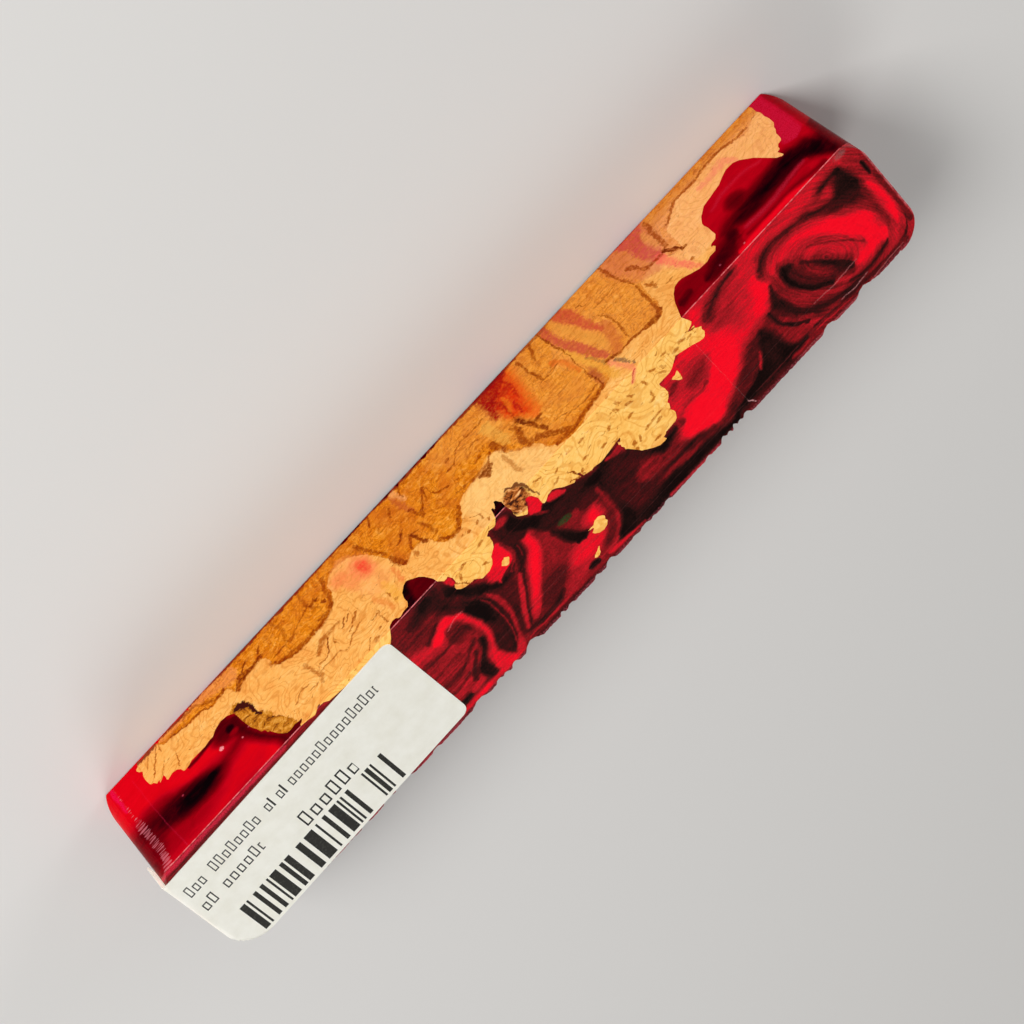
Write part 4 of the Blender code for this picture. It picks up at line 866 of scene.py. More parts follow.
FRONT_STROKES = [
    # the labelled end
    ("s", 0.92, 0.5, [(-1, 53, 14), (21, 53, 14)]),
    ("x", 0.64, 2, [(66, 16, 6.5), (58, 16, 6.5), (53, 17, 5), (48, 19, 3), (44, 20, 1)]),
    ("x", 0.86, 1.6, [(60, 19.6, 1.2), (55, 19.6, 1), (50, 18.6, 1.8), (46, 17, 2.2), (43, 17.5, 2)]),
    ("x", 0.42, 1.6, [(66, 15, 4.5), (62.5, 15, 4.5), (61, 14.5, 3.5)]),
    ("x", 0.28, 1.4, [(60.5, 11.5, 1.4), (57, 12, 2.2), (51, 13.3, 1.2), (48, 13.3, 0.8), (45, 12.8, 0.6),
        (42.5, 12, 0.8)]),
    ("spot", 0.12, 1.2, (53, 13.4, 3.6, 1.5, -8)),
    ("spot", 0, 0.7, (52.4, 13.6, 2, 0.8, -4)),
    ("spot", 0, 0.5, (49.8, 13.4, 1.2, 0.4, 0)),
    ("spot", 0.3, 0.8, (44.4, 9, 2, 1.7, 0)),
    ("x", 0.3, 0.3, [(51, 8.9, 0.25), (46.5, 8.4, 0.35), (45, 7.8, 0.4), (43.6, 7.6, 0.4)]),
    ("s", 0.25, 0.9, [(9, 42.8, 0.6), (11.5, 42.6, 0.9), (14, 41.9, 0.8), (16.5, 40.6, 0.8),
        (19, 39.4, 0.8)]),
    ("spot", 0.06, 0.3, (43.9, 9.6, 0.55, 0.6, 0)),
    ("spot", 0.55, 0.3, (43.7, 10.6, 0.6, 0.35, 0)),
    # the other end
    ("s", 0.76, 0.5, [(-1, -49, 16.5), (21, -49, 16.5)]),
    ("x", 0.5, 0.8, [(-33, 17, 2.8), (-41, 17, 2.8), (-44, 16.5, 2.6)]),
    ("x", 0.22, 0.6, [(-38.5, 18, 0.8), (-41, 17.3, 1.2), (-43.5, 16.8, 1.3), (-45, 15.5, 1)]),
    ("x", 0.3, 0.4, [(-34, 17.5, 0.7), (-35.8, 17.1, 0.6)]),
    ("spot", 0.34, 0.7, (-48.4, 11.3, 1.2, 1, 0)),
    ("x", 0.3, 0.9, [(-44.5, 14.2, 0.8), (-48, 14.2, 1.6), (-52, 14, 2), (-57, 14, 2)]),
    ("x", 0.16, 0.9, [(-46.8, 14.4, 0.7), (-49.5, 14.3, 1.3), (-54.5, 13.9, 1.8), (-57, 14, 1.8),
        (-58.8, 14.8, 2.2), (-60, 15.8, 2.8), (-61, 16.8, 2.9)]),
    ("x", 0.04, 0.6, [(-50, 14.1, 0.3), (-56, 13.8, 0.7), (-58.5, 14.6, 1), (-59.8, 15.8, 1.5)]),
    ("x", 0.62, 0.4, [(-45.5, 16.6, 0.3), (-48, 16.9, 0.3), (-53.5, 16.5, 0.4), (-56, 16.1, 0.4),
        (-58, 16.2, 0.3)]),
    ("x", 0.7, 0.3, [(-45.5, 17.7, 0.6), (-50, 17.8, 0.6), (-54, 17.6, 0.6), (-57, 17.6, 0.5)]),
    ("x", 0.42, 0.5, [(-46, 17.7, 0.15), (-50, 17.9, 0.15), (-53, 17.8, 0.2), (-55, 18.2, 0.3),
        (-57, 18.7, 0.4), (-59, 19, 0.6)]),
    ("x", 1, 0.35, [(-43.5, 19.1, 0.4), (-46, 18.9, 0.5), (-52, 18.8, 0.5), (-54.5, 19.1, 0.4),
        (-56, 19.4, 0.3)]),
    ("s", 0.66, 0.4, [(-1, -63.4, 1.8), (8, -63.4, 1.8), (12, -63.6, 1.6)]),
    ("s", 0.4, 0.4, [(12, -63.6, 2), (21, -63.6, 2)]),
    # between the wood: the film, the dome and the bark's crevices
    ("s", 0.05, 0.4, [(15.4, 15.4, 0.4), (16.3, 16.1, 0.7), (17.5, 16.3, 0.9), (19.5, 16.8, 1)]),
    ("s", 0.05, 0.15, [(17, 0.4, 1), (19.6, 0.5, 1.2)])]

# Scuffs, bubbles and pearly lines in the polished front: kind, colour, strength, softness, shape. The pearly
# lines at the rounded end are painted highlights on scratches.
FRONT_LIGHTS = [
    # painted highlights: pale lines where scratches on the rounded end catch the light
    ("s", (232, 20, 84), 0.75, 0.25, [(0.5, 60.8, 0.15), (2, 60.9, 0.3), (4, 60.8, 0.25), (6, 60.9, 0.15)]),
    ("s", (230, 40, 75), 0.35, 0.15, [(2.5, 57.8, 0.02), (15, 57.6, 0.02), (19, 57.3, 0.06)]),
    ("spot", (250, 160, 165), 0.95, 0.12, (46.3, 11.1, 0.34, 0.34, 0)),
    ("spot", (240, 120, 130), 0.8, 0.1, (43.4, 12.6, 0.13, 0.13, 0)),
    ("spot", (200, 60, 80), 0.7, 0.1, (53.9, 11.8, 0.12, 0.12, 0)),
    ("spot", (225, 110, 120), 0.7, 0.1, (41.8, 12, 0.12, 0.12, 0)),
    ("s", (212, 28, 70), 0.6, 0.5, [(-1, -60.2, 1.2), (4, -60.1, 1.3), (8, -60, 1.4), (10.5, -59.6, 1.6)]),
    ("x", (215, 50, 80), 0.3, 0.5, [(-45.5, 9.4, 0.1), (-47.5, 8.7, 0.2), (-50, 8.5, 0.2),
        (-52.5, 8.8, 0.2), (-54.5, 9.6, 0.1)]),
    ("spot", (225, 110, 120), 0.7, 0.1, (-44.7, 18.4, 0.14, 0.14, 0)),
    ("spot", (215, 90, 110), 0.5, 0.1, (-40.7, 17.9, 0.12, 0.12, 0)),
    ("x", (215, 50, 80), 0.35, 0.5, [(-46.5, 16.5, 0.2), (-50, 16.8, 0.3), (-57.5, 15.9, 0.2)])]

# Fine ticks across the rounded end, as s, x and half width: scratches drawn as painted highlights where they
# catch the light
HATCH = [
    (8.6, 60.5, 0.2), (10, 60.5, 0.45), (12.5, 60.4, 0.4), (15, 60.4, 0.5), (17, 60.4, 0.35),
    (18.4, 60.6, 0.5), (19.3, 61, 0.6)]

TOP_LIGHTS = [
    ("x", (205, 36, 64), 0.8, 0.25, [(63.5, 19.9, 0.3), (52, 19.9, 0.35), (40, 19.8, 0.2)]),
    ("spot", (128, 92, 90), 0.6, 0.3, (-60.9, 20.1, 0.8, 0.4, 0)),
    ("x", (215, 120, 120), 0.5, 0.12, [(-46, 33.9, 0.04), (-50, 34.2, 0.07), (-54, 34, 0.04)]),
    ("x", (225, 140, 140), 0.55, 0.1, [(-49, 36.9, 0.04), (-51.5, 37.1, 0.08), (-54, 36.9, 0.04)]),
    ("x", (215, 110, 110), 0.5, 0.1, [(-40, 38.3, 0.05), (-50, 38.5, 0.08), (-60, 37.9, 0.05)]),
    ("s", (225, 160, 160), 0.9, 0.1, [(36.9, -31.5, 0.04), (37.5, -31.9, 0.1), (38.1, -32.2, 0.05)]),
    ("x", (220, 90, 95), 0.7, 0.12, [(16, 26.45, 0.06), (15, 26.1, 0.09), (14, 25.85, 0.09),
        (12.9, 25.9, 0.06)]),
    ("spot", (38, 62, 28), 1, 0.2, (-4.3, 28, 0.95, 0.42, -5))]

RESIN_LOOKS = [
    (0, (7, 2, 1)), (0.05, (20, 7, 5)), (0.1, (40, 13, 11)), (0.2, (62, 12, 13)), (0.3, (85, 15, 17)),
    (0.4, (112, 16, 20)), (0.5, (138, 18, 24)), (0.6, (162, 20, 29)), (0.7, (186, 22, 34)),
    (0.8, (212, 18, 34)), (0.9, (235, 10, 34)), (1, (255, 4, 32))]
DEEP_LOOKS = [
    (0, (8, 2, 4)), (0.1, (35, 0, 6)), (0.2, (60, 0, 7)), (0.3, (82, 0, 8)), (0.4, (105, 0, 10)),
    (0.5, (125, 0, 12)), (0.6, (145, 0, 14)), (0.7, (165, 0, 18)), (0.8, (188, 2, 22)),
    (0.9, (210, 2, 18)), (1, (232, 5, 28))]


def painted(finish, sheet, tone, strokes, blur, ragged=0.0):
    """A tone with strokes and spots laid over it in turn, with all their edges softened by a factor."""
    for kind, laid, crisp, shape in strokes:
        widest = min(shape[2:4]) if kind == "spot" else max(half for along, centre, half in shape)
        soft = crisp * blur * (0.6 + 0.6 * min(widest, 1.5)) + 0.05
        tone = finish.blend(tone, laid, finish.shape_mask(sheet, kind, shape, soft, ragged))
    return tone


def stained(finish, sheet, colour, stains, rough, ragged=0.0):
    """A colour with stains laid over it in turn, broken up by a roughening noise and with ragged edges."""
    for kind, laid, strength, soft, shape in stains:
        mask = finish.shape_mask(sheet, kind, shape, soft, ragged)
        colour = finish.tint(colour, srgb(laid), mask * (rough * strength))
    return colour


# The eye of the swirl in the top: its place, turn and squash, and where along x its rings take over
SWIRL_EYE = (-51.2, 30, 0)
SWIRL_TURN = math.radians(-48)
SWIRL_SQUASH = 0.62
RINGS_FROM, RINGS_FULL = -42, -45

# Where the streaks grow calm, in the dark middle of the top
CALM_MIDDLE = -2.5
CALM_NEAR, CALM_FAR = 5, 9

# The resin's smaller colours
DUST = (170, 70, 72)
SANDED_SHADE = (12, 2, 2)
TORN_EDGE = (165, 70, 82)
TORN_FROM, TORN_FULL = 38.1, 38.6
# the painted highlight along the eased ridge and ends
EDGE_HIGHLIGHT = (225, 120, 122)
# the painted highlight of the scratch ticks on the rounded end
TICK_HIGHLIGHT = (215, 112, 126)


def resin_finish():
    """Swirled red and black resin: polished on the front, sanded on the top, sawn at the back."""
    finish = Finish("cast_resin", Roughness=0.16, Specular_IOR_Level=0.002)
    sheet = Sheet(finish, 0.45)
    top = painted(finish, sheet, 0.4, TOP_STROKES, 1.9)
    front = painted(finish, sheet, 0.3, FRONT_STROKES, 1.0)
    on_top = sheet.s > SIDE / MM

    # fine layers that follow the strokes' edges, rings in the swirl, and streaks along the blank
    layers = finish.noise(finish.vector(top * 6.0, sheet.x * 0.10, sheet.s * 0.10), 1.0, 4.0, 0.65)
    ring = finish.length(finish.node("Mapping", {"vector_type": "TEXTURE"},
                                     {"Vector": finish.vector(sheet.x, sheet.s, 0), "Location": SWIRL_EYE,
                                      "Rotation": (0, 0, SWIRL_TURN), "Scale": (1, SWIRL_SQUASH, 1)}))
    mottle = finish.noise(sheet.place, 0.4, 5.0, 0.7, 1.2) - 0.5
    grain = finish.noise(finish.vector(sheet.true_x * 3.4, sheet.true_s * 3.4, 9.0), 1.0, 2.0, 0.7) - 0.5
    rings = finish.noise(finish.vector(ring * 1.9 + mottle * 1.2, sheet.x * 0.15, sheet.s * 0.15),
                         1.0, 5.0, 0.66)
    streaks = finish.noise(finish.vector(sheet.x * 0.22, sheet.s * 2.2, 0.0), 1.0, 4.0, 0.6, 0.4)
    in_swirl = finish.soft(sheet.x, RINGS_FROM, RINGS_FULL)
    calm = finish.soft(abs(sheet.x - CALM_MIDDLE), CALM_NEAR, CALM_FAR) * 0.5 + 0.5
    flow = finish.blend((streaks - 0.5) * calm, (rings - 0.5) * 1.4, in_swirl)
    mid = top * (1.15 - top) * 3.0
    tone = (top * 1.04 - 0.02 + (layers - 0.5) * 0.36 + flow * mid * 0.7
            + (mottle * 0.42 + grain * 0.44) * (mid * 0.6 + 0.4))
    top_colour = finish.node("ValToRGB", {"stops": RESIN_LOOKS}, {"Fac": tone})

    # sanding scratches leave a dusty haze on the top
    scratches = finish.noise(finish.vector(sheet.true_x * 0.5, sheet.true_s * 9.0, 0.0), 1.0, 3.0, 0.6)
    grit = finish.noise(finish.vector(sheet.true_x * 5.0, sheet.true_s * 6.0, 0.0), 1.0, 2.0, 0.6)
    haze = finish.soft(scratches * 0.6 + grit * 0.4, 0.42, 0.72)
    top_colour = finish.tint(top_colour, srgb(DUST), haze * (top * 0.08 + 0.03))
    shade = finish.soft(scratches * 0.5 + grit * 0.5, 0.6, 0.3)
    top_colour = finish.tint(top_colour, srgb(SANDED_SHADE), shade * 0.25)

    # a green fleck and pale lines, and the torn edge along the sawn back
    gritty = finish.soft(grit, 0.3, 0.6)
    top_colour = stained(finish, sheet, top_colour, TOP_LIGHTS, gritty)
    torn = finish.soft(sheet.true_s + grain * 1.2, TORN_FROM, TORN_FULL)
    top_colour = finish.tint(top_colour, srgb(TORN_EDGE), torn * finish.soft(grit, 0.4, 0.6) * 0.7)

    # the polished front, with fine scratch ticks across the rounded end drawn as painted highlights
    cloud = finish.noise(finish.vector(sheet.x * 0.4, sheet.s * 1.2, 0.0), 0.7, 5.0, 0.65, 0.8)
    deep = front + (cloud - 0.5) * 0.5 * (1.2 - front)
    front_colour = finish.node("ValToRGB", {"stops": DEEP_LOOKS}, {"Fac": deep})
    front_colour = stained(finish, sheet, front_colour, FRONT_LIGHTS, gritty)
    ticks = finish.noise(finish.vector(sheet.true_x * 0.3, sheet.true_s * 3.0, 5.0), 1.0, 2.0, 0.7)
    painted_tick_highlight = finish.band(sheet.true_s, sheet.true_x, HATCH, 0.12, (ticks - 0.5) * 2.2)
    front_colour = finish.tint(front_colour, srgb(TICK_HIGHLIGHT), painted_tick_highlight * finish.soft(ticks, 0.46, 0.58) * 0.6)

    # the flat ends show the swirls cut across
    out_x, out_y, out_z = finish.parts(finish.node("NewGeometry", {}, {}, "True Normal"))
    in_end = finish.soft(abs(out_x), 0.95, 0.985)
    cut_across = finish.noise(sheet.place, 0.12, 4.0, 0.55, 2.6)
    end_colour = finish.node("ValToRGB", {"stops": DEEP_LOOKS}, {"Fac": (cut_across - 0.34) * 2.8})
    front_colour = finish.tint(front_colour, end_colour, in_end)

    # painted highlight along the eased ridge and ends, broken into patches by noise
    eased = finish.soft(out_z, 0.15, 0.35) * finish.soft(out_z, 0.995, 0.975)
    highlight_patches = finish.soft(finish.noise(sheet.place, 1.6, 3.0, 0.6), 0.35, 0.62)
    painted_edge_highlight = eased * (highlight_patches * 0.6 + 0.15)
    front_colour = finish.tint(front_colour, srgb(EDGE_HIGHLIGHT), painted_edge_highlight)
    top_colour = finish.tint(top_colour, srgb(EDGE_HIGHLIGHT), painted_edge_highlight)
    finish.feed(finish.shader.inputs["Base Color"], front_colour)
    finish.second_coat(on_top * (1.0 - in_end),
                       {"Base Color": top_colour, "Roughness": 0.45, "Specular IOR Level": 0.06})
    return finish.material


# Where the golden heartwood gives way to pale sapwood, in spans along x, as x and s in mm
HEART_EDGE = [
    [(57, -2), (53.2, -1), (52.6, 1), (52, 1.8), (50.1, 2.3), (47.3, 3), (44.8, 3.4), (43.4, 4),
        (42.2, 3.7), (41.2, 3.7), (40.4, 4.6), (39.8, 5.8), (39.2, 5.2), (38.4, 5)],
    [(38.4, 5), (36.2, 4.6), (34.9, 4.7), (34.5, 5.3), (34.4, 6.5), (34.2, 7.4), (33.4, 8.1), (32.2, 8.7),
        (31.2, 9), (29.5, 9.2), (27.9, 9.1), (26.5, 9), (25.1, 8.7), (24, 8.1), (23.2, 7.2), (22.7, 5.8),
        (22.4, 4.4), (21.7, 3.4), (20.6, 2.9)],
    [(20.6, 2.9), (19, 3.1), (18, 3.7), (17, 4.6), (16.2, 5.8), (15.4, 7.2), (14.8, 9), (14.3, 10.7),
        (13.8, 12.2), (13.4, 13), (12.6, 12.6), (11.6, 12), (10.4, 12), (9.4, 12.4), (8.9, 13.5),
        (8.4, 14.9), (7.6, 15.8), (6.4, 16.1), (5.3, 15.8), (4.4, 14.8), (3.6, 13.4), (2.8, 12.2),
        (1.5, 11.7), (0, 11.6)],
    [(0, 11.6), (-0.8, 11.8), (-1.3, 12.6), (-1.9, 13.2), (-2.5, 12.4), (-3.3, 11.1), (-4.1, 10.4),
        (-4.8, 11.3), (-5.8, 12.8), (-7.2, 14.2), (-8.7, 15.1), (-9.3, 16.2), (-9.6, 17.6), (-10.4, 18.6),
        (-11.6, 19.2), (-14, 19.4), (-16, 18.6), (-18, 18)],
    [(-18, 18), (-20, 17.6), (-21.5, 16.8), (-22.3, 15.4), (-23.2, 14.7), (-24.2, 15.3), (-25, 15.4),
        (-26.5, 15.3), (-28, 15.7), (-29.5, 16.2), (-31, 16.3), (-31.9, 15.4), (-32.3, 13.5), (-32.5, 10),
        (-32.9, 8.7), (-34, 8.3), (-35.5, 8.2), (-36.3, 8), (-37, 8.8), (-38, 9.6), (-39, 10.2)],
    [(-39, 10.2), (-39.8, 9.8), (-39.9, 6.4), (-40.6, 5.1), (-41.5, 4.5), (-43, 3.4), (-44, 2.8), (-47, 3),
        (-49, 2.7), (-50.5, 2.5), (-52, 2.4), (-53.8, 2.7), (-55, 3.4), (-56.3, 3.9), (-57.4, 3.4),
        (-58.5, 2.8), (-59.4, 2.5)]]


# Brown figure in the burl, drawn like the resin's strokes but with a strength from 0 to 1
BROWN_MARKS = [
    # the labelled end
    ("s", 0.6, 0.05, [(0.8, 52.7, 0.04), (2.4, 53.5, 0.1), (3.8, 54.3, 0.05)]),
    ("s", 0.6, 0.05, [(2.2, 53.6, 0.04), (4, 54.5, 0.09), (5.2, 55.2, 0.04)]),
    ("s", 0.5, 0.05, [(0.6, 53.9, 0.04), (2, 54.7, 0.09), (3.4, 55.4, 0.04)]),
    ("s", 0.5, 0.05, [(3.6, 52.6, 0.04), (5, 53.4, 0.09), (6.3, 54.2, 0.05)]),
    ("s", 0.6, 0.05, [(4.6, 51, 0.04), (6, 51.4, 0.09), (7.4, 51.7, 0.05)]),
    ("s", 0.5, 0.06, [(0.9, 52.2, 0.05), (1.8, 52.5, 0.1), (2.6, 52.5, 0.05)]),
    ("x", 0.6, 0.12, [(50.5, 2.1, 0.1), (48.5, 2.6, 0.16), (46.5, 2.8, 0.18), (44.8, 3.2, 0.16),
        (43.8, 3.7, 0.12)]),
    ("x", 0.4, 0.2, [(47.5, 1.2, 0.2), (45.6, 1.3, 0.3), (44.5, 2.2, 0.3), (43, 3, 0.25)]),
    ("x", 0.6, 0.2, [(43.2, 3.4, 0.15), (42, 3.6, 0.3), (41, 3.2, 0.2)]),
    ("x", 0.8, 0.2, [(39.9, 5.4, 0.4), (39.3, 4.7, 0.8), (38.4, 4.3, 0.8), (37.6, 4.4, 0.5),
        (36.5, 4.5, 0.35), (35.6, 4.3, 0.35), (34.8, 4.2, 0.4)]),
    ("x", 0.8, 0.1, [(38, 3.4, 0.12), (37.4, 3, 0.2), (36.8, 2.7, 0.12)]),
    ("s", 0.7, 0.1, [(2.3, 34.2, 0.08), (3, 34.6, 0.2), (3.8, 34.9, 0.1)]),
    # the bowl
    ("x", 0.55, 0.3, [(34.6, 6.8, 0.4), (33.6, 7.6, 0.45), (31, 8.6, 0.5), (29, 8.8, 0.4), (27, 8.8, 0.35),
        (25.5, 8.5, 0.5), (24.2, 8, 0.5), (23.3, 7.2, 0.4)]),
    ("s", 0.6, 0.25, [(2.2, 22.4, 0.2), (4, 22.9, 0.3), (5.5, 23.2, 0.3), (7, 23.6, 0.4), (8, 24.3, 0.4)]),
    ("s", 0.35, 0.2, [(0.8, 26, 0.2), (3, 26.2, 0.3), (5, 25.8, 0.25), (6.6, 25, 0.2)]),
    ("s", 0.3, 0.25, [(0.8, 31, 0.2), (3, 30.6, 0.3), (5, 30.8, 0.35), (6.6, 31.6, 0.3)]),
    ("spot", 0.7, 0.15, (25.6, 4.6, 0.35, 0.3, 20)),
    ("spot", 0.8, 0.15, (24.8, 4.4, 0.3, 0.45, 0)),
    ("spot", 0.85, 0.12, (24.2, 5.8, 0.25, 0.45, 15)),
    ("spot", 0.7, 0.2, (25.3, 7.9, 0.9, 0.3, -10)),
    ("spot", 0.6, 0.15, (30.2, 6.2, 0.5, 0.2, 20)),
    ("x", 0.5, 0.12, [(33.6, 6.4, 0.1), (32, 6.2, 0.15), (30, 6, 0.12), (28.4, 5.2, 0.12), (27, 4.6, 0.15),
        (25.8, 4, 0.12)]),
    # dashes below the bowl
    ("x", 0.5, 0.3, [(29.5, 12.5, 0.3), (28.7, 11.8, 0.65), (27.7, 11.1, 0.6), (26.4, 10.9, 0.35),
        (24.5, 10.9, 0.12)]),
    ("x", 0.9, 0.08, [(28.4, 13.7, 0.12), (27.8, 12.9, 0.26), (27.3, 12.2, 0.24), (26.9, 11.5, 0.12)]),
    ("x", 0.8, 0.08, [(24.8, 12.3, 0.1), (24.2, 11.7, 0.22), (23.7, 11.1, 0.12)]),
    ("x", 0.8, 0.08, [(23.9, 12, 0.08), (23.3, 11.5, 0.16), (22.8, 11.2, 0.08)]),
    ("x", 0.7, 0.1, [(23.5, 13, 0.1), (22.8, 12.6, 0.22), (22.1, 12.1, 0.1)]),
    ("s", 0.6, 0.08, [(12.4, 26.5, 0.06), (13.2, 26.6, 0.14), (14, 26.4, 0.06)]),
    ("x", 0.6, 0.08, [(24.6, 13.9, 0.08), (24, 13.6, 0.14), (23.5, 13.5, 0.08)]),
    ("x", 0.5, 0.1, [(30, 13.9, 0.08), (29, 14, 0.14), (28.3, 13.8, 0.08)]),
    ("x", 0.45, 0.1, [(30.2, 14.9, 0.08), (28.6, 15, 0.12), (27, 15.1, 0.12), (26, 15.9, 0.1)]),
    ("x", 0.55, 0.1, [(25.9, 15.8, 0.08), (24.8, 15, 0.14), (23.6, 14.5, 0.14), (22.6, 14.1, 0.1)]),
    ("s", 0.4, 0.2, [(11.5, 31.4, 0.2), (14, 31, 0.3), (15.6, 30.6, 0.35), (16.8, 31.2, 0.3)]),
    ("x", 0.5, 0.1, [(35.6, 15.9, 0.08), (34.5, 15.2, 0.14), (33.6, 14.7, 0.16), (32.7, 15.1, 0.08)]),
    ("x", 0.4, 0.12, [(33.2, 16, 0.08), (32.3, 16.2, 0.16), (31.4, 15.9, 0.08)]),
    ("x", 0.65, 0.08, [(21.5, 15.5, 0.08), (20.8, 15.5, 0.16), (20.2, 15.4, 0.08)]),
    ("spot", 0.7, 0.1, (21.3, 17.6, 0.25, 0.18, 0)),
    ("spot", 0.45, 0.2, (22.5, 18.6, 0.45, 0.4, 0)),
    ("x", 0.65, 0.06, [(24.2, 19, 0.06), (23.6, 18.4, 0.12), (23, 17.7, 0.06)]),
    ("s", 0.45, 0.1, [(14.8, 20, 0.08), (16.5, 20.2, 0.14), (18.2, 20.1, 0.08)]),
    ("spot", 0.6, 0.12, (17.2, 16.1, 0.3, 0.3, 0)),
    ("spot", 0.5, 0.12, (17.6, 14.6, 0.12, 0.4, 0)),
    # the flame figure
    ("s", 0.6, 0.25, [(2.6, 16.5, 0.25), (4, 16.1, 0.3), (5.2, 15.7, 0.25), (7, 14.9, 0.2),
        (9, 14.4, 0.2)]),
    ("s", 0.7, 0.2, [(9.6, 14.2, 0.3), (11.8, 13.7, 0.5), (12.8, 13.3, 0.2)]),
    ("s", 0.7, 0.1, [(0.7, 12.7, 0.1), (1.8, 13, 0.22), (2.7, 13.3, 0.1)]),
    ("s", 0.5, 0.12, [(2.4, 10, 0.08), (3.2, 10.2, 0.18), (4.4, 10.6, 0.08)]),
    ("s", 0.5, 0.1, [(0.6, 7.1, 0.1), (1.8, 7.5, 0.16), (3.2, 7.7, 0.08)]),
    ("s", 0.6, 0.12, [(4.6, 5.2, 0.12), (6, 6, 0.2), (7, 6.5, 0.2), (8, 7.2, 0.3), (8.9, 7.5, 0.3)]),
    ("s", 0.6, 0.15, [(5.8, 8.2, 0.15), (7, 7.9, 0.2), (8.4, 7.6, 0.3)]),
    ("s", 0.7, 0.08, [(4.8, 5, 0.15), (5.6, 5.4, 0.12), (6.9, 5.5, 0.06)]),
    ("x", 0.6, 0.1, [(5, 5.4, 0.15), (4.6, 6.8, 0.25), (4.1, 7.7, 0.2), (3.3, 8.1, 0.14),
        (2.4, 8.4, 0.08)]),
    ("x", 0.6, 0.12, [(12.6, 9.1, 0.08), (11.7, 8.7, 0.22), (11.2, 8.1, 0.2), (10.6, 7.8, 0.08)]),
    ("s", 0.7, 0.12, [(9.5, 10.7, 0.12), (10.6, 11.1, 0.18), (11.8, 11.5, 0.16)]),
    ("s", 0.85, 0.1, [(9.2, 10.6, 0.16), (10.2, 10.2, 0.28), (11.2, 9.9, 0.2), (12.2, 9.6, 0.3),
        (12.8, 9.4, 0.2)]),
    ("x", 0.5, 0.1, [(10.9, 9.2, 0.1), (10, 9.6, 0.14), (9.2, 10, 0.08)]),
    ("spot", 0.45, 0.2, (11.5, 12.9, 0.3, 0.55, 0)),
    ("s", 0.4, 0.2, [(9, 8.6, 0.15), (11, 8, 0.25), (13, 7.9, 0.3)]),
    ("x", 0.7, 0.2, [(8.3, 14.3, 0.25), (7.4, 15.4, 0.4), (6.5, 15.8, 0.4), (5.6, 15.5, 0.5),
        (4.9, 14.5, 0.6), (4.2, 13.6, 0.6), (3.6, 12.8, 0.35)]),
    ("spot", 0.5, 0.12, (0.3, 4.6, 0.3, 0.3, 0)),
    ("x", 0.5, 0.1, [(1.4, 6.3, 0.06), (0.4, 6.3, 0.14), (-0.6, 5.6, 0.14), (-1.1, 4.9, 0.06)]),
    ("x", 0.45, 0.12, [(-1, 4.6, 0.06), (-3, 4.1, 0.14), (-5, 4.3, 0.14), (-6.8, 4.2, 0.08)]),
    ("x", 0.4, 0.12, [(-1.8, 6.4, 0.06), (-3.5, 6.2, 0.12), (-4.8, 6.5, 0.08)]),
    ("x", 0.4, 0.12, [(-1, 8.4, 0.06), (-2, 9.2, 0.12), (-3.4, 8.9, 0.12), (-4.2, 8, 0.08)]),
    ("x", 0.45, 0.15, [(2.6, 10.6, 0.1), (1, 10.9, 0.2), (-1, 11.2, 0.3), (-3, 11, 0.3), (-4, 10, 0.3)]),
    ("x", 0.85, 0.12, [(-0.9, 11.8, 0.25), (-1.5, 12.1, 0.55), (-2.1, 12.4, 0.85), (-2.7, 12, 0.55),
        (-3.2, 11.7, 0.25)]),
    ("s", 0.65, 0.2, [(8.8, -5, 0.4), (10, -5.1, 0.6), (11, -5.3, 0.35), (12, -5.6, 0.2)]),
    ("s", 0.35, 0.2, [(12, -4.8, 0.2), (14, -4.9, 0.4), (16, -4.9, 0.4), (17.2, -5.2, 0.2)]),
    ("spot", 0.5, 0.1, (5.9, 17, 0.2, 0.15, 0)),
    ("spot", 0.6, 0.1, (4.9, 17.6, 0.25, 0.2, 0)),
    ("spot", 0.6, 0.1, (3.5, 17.4, 0.3, 0.16, 25)),
    ("spot", 0.5, 0.1, (2.1, 18.6, 0.14, 0.3, 0)),
    ("s", 0.5, 0.12, [(15.8, 3.6, 0.1), (16.8, 2.4, 0.14), (17.8, 2.6, 0.1)]),
    # the middle
    ("s", 0.55, 0.3, [(9.4, -8.3, 0.35), (11, -8.5, 0.45), (13, -8.1, 0.6), (14.6, -8.4, 0.6)]),
    ("spot", 0.9, 0.12, (-8.8, 11.1, 0.28, 0.35, 0)),
    ("spot", 0.9, 0.15, (-9.3, 9.7, 0.3, 0.45, 25)),
    ("spot", 0.8, 0.15, (-11.6, 12.1, 0.6, 0.3, 0)),
    ("s", 0.8, 0.15, [(10.4, -9.7, 0.3), (12, -10.3, 0.3), (13.6, -10.6, 0.35), (15, -11.2, 0.4)]),
    ("x", 0.7, 0.3, [(-9.4, 14.8, 0.5), (-10.4, 15.6, 0.7), (-11.3, 16.4, 0.7), (-12.2, 17.4, 0.7),
        (-13.2, 18.2, 0.5)]),
    ("x", 0.6, 0.25, [(-10.5, 18.4, 0.4), (-13, 18.7, 0.4), (-16, 18.1, 0.4), (-18.5, 17.7, 0.4),
        (-19.8, 17.2, 0.3)]),
    ("spot", 0.9, 0.12, (-14.9, 0.45, 0.3, 0.3, 0)),
    ("s", 0.65, 0.12, [(1.4, -14.9, 0.12), (3.5, -15, 0.16), (5.5, -15.1, 0.2), (7.8, -15.5, 0.16)]),
    ("s", 0.5, 0.2, [(0.8, -17.7, 0.2), (2.2, -17.2, 0.35), (3.8, -16.8, 0.2)]),
    ("s", 0.7, 0.08, [(0.4, -19.35, 0.08), (4, -19.55, 0.12), (8, -19.9, 0.08), (11.5, -19.75, 0.05),
        (14.5, -19.75, 0.12), (17, -20, 0.12)]),
